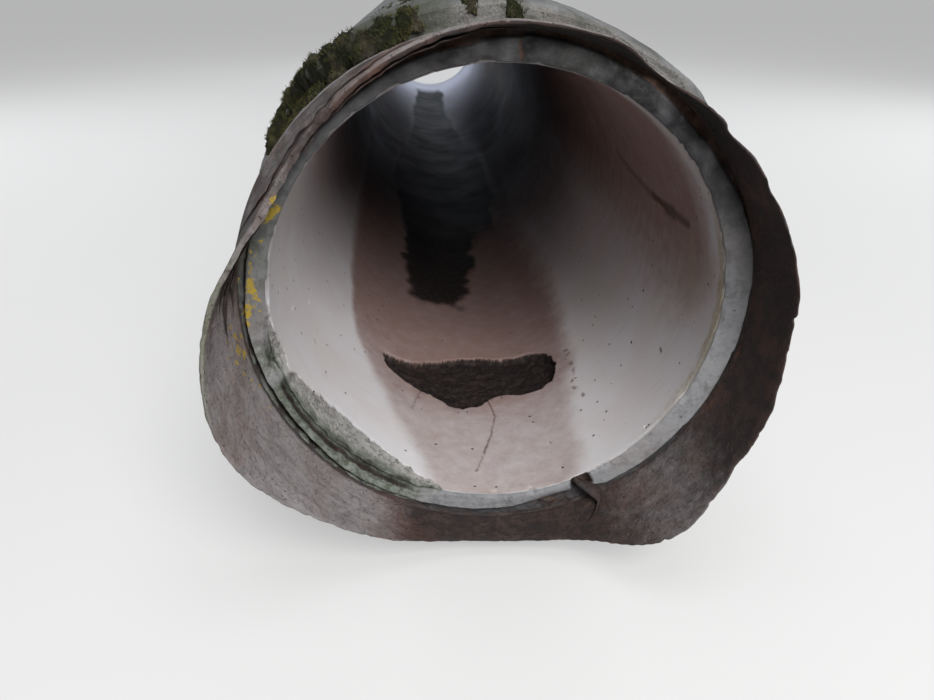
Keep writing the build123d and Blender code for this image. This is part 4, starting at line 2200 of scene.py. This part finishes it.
    def _kept(self, point: Vector) -> Vector:
        """A point kept inside the pipe's own box."""
        edge = self.limit
        return Vector((min(max(point.x, -edge), edge), point.y, min(point.z, edge)))

    def _tuft(self, chance: random.Random) -> BMesh:
        """Makes one tuft of short pointed shoots, about 12 mm across.

        Args:
            chance: what sets each shoot's place, height and lean.

        Returns:
            The tuft, standing on the origin.
        """
        mesh = bmesh.new()
        for _ in range(self.shoots):
            made = bmesh.ops.create_cone(
                mesh, segments=3, radius1=self.shoot_radius, radius2=0.0001, depth=1.0, cap_ends=True
            )["verts"]
            turn, out = chance.uniform(0.0, math.tau), 0.006 * math.sqrt(chance.random())
            tall, lean = chance.uniform(0.0025, 0.0055), chance.uniform(0.0, 0.0035)
            for vert in made:
                up = vert.co.z + 0.5
                reach = out + lean * up
                shift = Vector((reach * math.cos(turn), reach * math.sin(turn), up * tall))
                vert.co = Vector((vert.co.x, vert.co.y, 0.0)) + shift
        return mesh

    def _planted(self) -> BMesh:
        """Sets tufts all over the moss.

        Returns:
            All their shoots as one mesh.
        """
        chance = random.Random(self.seed)
        kinds = [stored("tuft", self._tuft(chance)) for _ in range(self.kinds)]
        blades = bmesh.new()
        done = 0
        while done < self.tufts:
            clock, y = self._spread(chance.random(), chance.random())
            cover = self._cover(clock, y)
            if cover < 0.10:
                continue
            done += 1
            old = len(blades.verts)
            blades.from_mesh(kinds[done % len(kinds)])
            blades.verts.ensure_lookup_table()
            foot = self._place(clock, y, cover)
            out = at_clock(clock, 1.0, 0.0)
            side = Vector(AXIS).cross(out)
            for vert in blades.verts[old:]:
                x, v, up = vert.co
                vert.co = foot + side * x + Vector(AXIS) * v + out * (up - self.rooted)
        for data in kinds:
            bpy.data.meshes.remove(data)
        bmesh.ops.recalc_face_normals(blades, faces=blades.faces)
        return blades


# The studio


@dataclass(frozen=True)
class Lamp:
    """One soft lamp: where it hangs, what it points at, its size and power.

    A lamp that isn't mirrored gives no highlights.
    """

    name: str
    place: Place
    aim: Place
    size: float
    power: float
    colour: Colour = (1.0, 1.0, 1.0)
    mirrored: bool = True


@dataclass
class Studio:
    """A plain pale floor, soft light and the camera at the photograph's angle."""

    floor_level: float
    floor_size: float = 160.0
    camera_place: Place = (-0.1028, -0.987, 0.3915)
    camera_down: float = 24.8
    camera_right: float = 3.5
    lens: float = 31.18
    sensor: float = 36.0
    # The floor's colour in what it throws back, and where the camera sees it
    floor_thrown: Colour = (0.13, 0.125, 0.12)
    floor_seen: Colour = (0.40, 0.40, 0.397)
    floor_glow: float = 0.42
    world_colour: Colour = (0.93, 0.96, 1.0)
    world_light: float = 0.10
    background: Colour = (0.62, 0.62, 0.625)
    lamps: tuple[Lamp, ...] = (
        Lamp("key", (0.85, -3.0, 2.35), (-0.1, 0.3, -0.1), 2.0, 165.0, (1.0, 0.985, 0.97)),
        Lamp("sky", (0.2, -0.4, 3.8), (0.0, 0.3, 0.0), 3.0, 55.0, (0.95, 0.97, 1.0)),
        Lamp("sky_over_far_half", (-0.3, 4.2, 3.6), (0.0, 3.9, 0.0), 2.5, 36.0, (0.95, 0.97, 1.0)),
        Lamp("right_of_barrel", (3.6, 2.9, 1.9), (0.2, 2.7, 0.0), 2.4, 64.0, (0.97, 0.98, 1.0)),
        Lamp("left_of_barrel", (-3.6, 2.9, 1.9), (-0.2, 2.7, 0.0), 2.4, 64.0, (0.97, 0.98, 1.0)),
        Lamp("behind", (0.3, 7.4, 1.2), (0.0, 5.0, 0.0), 1.6, 9.0, (0.86, 0.92, 1.0)),
        Lamp(
            "daylight_at_far_end", (0.02, 4.93, 0.24), (-0.02, 4.1, -0.30), 0.14, 1.6,
            (0.66, 0.78, 1.0), mirrored=False,
        ),
    )

    def build(self) -> None:
        """Builds the floor, the lights, the world and the camera."""
        self._floor()
        self._world()
        for lamp in self.lamps:
            self._lamp(lamp)
        self._camera()
        bpy.context.scene.view_settings.view_transform = "Standard"

    def _floor(self) -> None:
        """The floor: pale where the camera sees it, darker in what it throws back."""
        mesh = bmesh.new()
        bmesh.ops.create_grid(mesh, x_segments=1, y_segments=1, size=0.5 * self.floor_size)
        for vert in mesh.verts:
            vert.co.z = self.floor_level
        floor = added("floor", stored("floor", mesh))
        g = Graph("studio_floor", 0.9, 0.2)
        path = g.nodes.new("ShaderNodeLightPath")
        seen = g.most(path.outputs["Is Camera Ray"], path.outputs["Is Glossy Ray"])
        seen = g.most(seen, path.outputs["Is Transmission Ray"])
        g.colour(g.mix(seen, self.floor_thrown, self.floor_seen))
        g.shader.inputs["Emission Color"].default_value = (1.0, 1.0, 1.0, 1.0)
        g.links.new(g.times(seen, self.floor_glow), g.shader.inputs["Emission Strength"])
        floor.data.materials.append(g.material)

    def _world(self) -> None:
        """Even light from all round, and a pale grey background."""
        world = bpy.data.worlds.new("studio")
        bpy.context.scene.world = world
        world.use_nodes = True
        nodes, links = world.node_tree.nodes, world.node_tree.links
        light = nodes["Background"]
        light.inputs["Color"].default_value = (*self.world_colour, 1.0)
        light.inputs["Strength"].default_value = self.world_light
        seen = nodes.new("ShaderNodeBackground")
        seen.inputs["Color"].default_value = (*self.background, 1.0)
        path = nodes.new("ShaderNodeLightPath")
        both = nodes.new("ShaderNodeMixShader")
        links.new(path.outputs["Is Camera Ray"], both.inputs["Fac"])
        links.new(light.outputs["Background"], both.inputs[1])
        links.new(seen.outputs["Background"], both.inputs[2])
        links.new(both.outputs["Shader"], nodes["World Output"].inputs["Surface"])

    @staticmethod
    def _lamp(lamp: Lamp) -> None:
        """Hangs one lamp.

        Args:
            lamp: the lamp.
        """
        light = bpy.data.lights.new(lamp.name, "AREA")
        light.shape = "SQUARE"
        light.size = lamp.size
        light.energy = lamp.power
        light.color = lamp.colour
        holder = added(lamp.name, light)
        holder.location = lamp.place
        holder.visible_camera = False
        holder.visible_glossy = lamp.mirrored
        toward = Vector(lamp.aim) - Vector(lamp.place)
        holder.rotation_euler = toward.to_track_quat("-Z", "Y").to_euler()

    def _camera(self) -> None:
        """The camera where the photograph was taken from."""
        lens = bpy.data.cameras.new("photo_camera")
        lens.lens = self.lens
        lens.sensor_width = self.sensor
        lens.sensor_fit = "HORIZONTAL"
        lens.clip_start = 0.02
        lens.clip_end = 100.0
        camera = added("photo_camera", lens)
        camera.location = self.camera_place
        camera.rotation_euler = (
            math.radians(90.0 - self.camera_down), 0.0, math.radians(-self.camera_right)
        )
        bpy.context.scene.camera = camera


# The whole pipe


def main() -> None:
    """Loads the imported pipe, dresses each part and sets up the studio."""
    logging.basicConfig(level=logging.INFO, format="%(name)s %(message)s")
    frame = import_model()
    sizes = PipeSizes.read(frame)
    nodes = frame["nodes"]
    lining_finish, steel_finish = LiningFinish().make(), SteelFinish().make()

    ConcreteLining(sizes, tree_of(nodes["concrete_lining"])).build(lining_finish)
    shell = SteelShell(sizes, LipProbe(nodes["steel_shell"], sizes.lining))
    shell.build(steel_finish)
    for layer in (
        RustLayer("rust_leaf_outer", shell, (283.0, 352.0), (0.05, 1.0), 0.0030, 0.0014, 3.0),
        RustLayer("rust_leaf_inner", shell, (292.0, 366.0), (0.05, 0.96), -0.0030, 0.0014, 8.0),
        RustLayer("rust_leaf_left_1", shell, (270.0, 303.0), (0.16, 0.40), -0.0022, 0.0012, 14.0),
        RustLayer("rust_leaf_left_2", shell, (266.0, 300.0), (0.38, 0.60), -0.0024, 0.0012, 19.0),
        RustLayer("rust_leaf_left_3", shell, (272.0, 306.0), (0.62, 0.88), -0.0020, 0.0012, 27.0),
    ):
        layer.build(steel_finish)
    TornStrip().build(steel_finish)
    coat = OuterCoat(sizes, tree_of(nodes["outer_coat"]))
    coat.build(CoatFinish().make())
    Moss(coat, sizes.coat - 0.0002).build(MossFinish().make())
    Studio(floor_level=-sizes.coat).build()


if __name__ == "__main__":
    main()
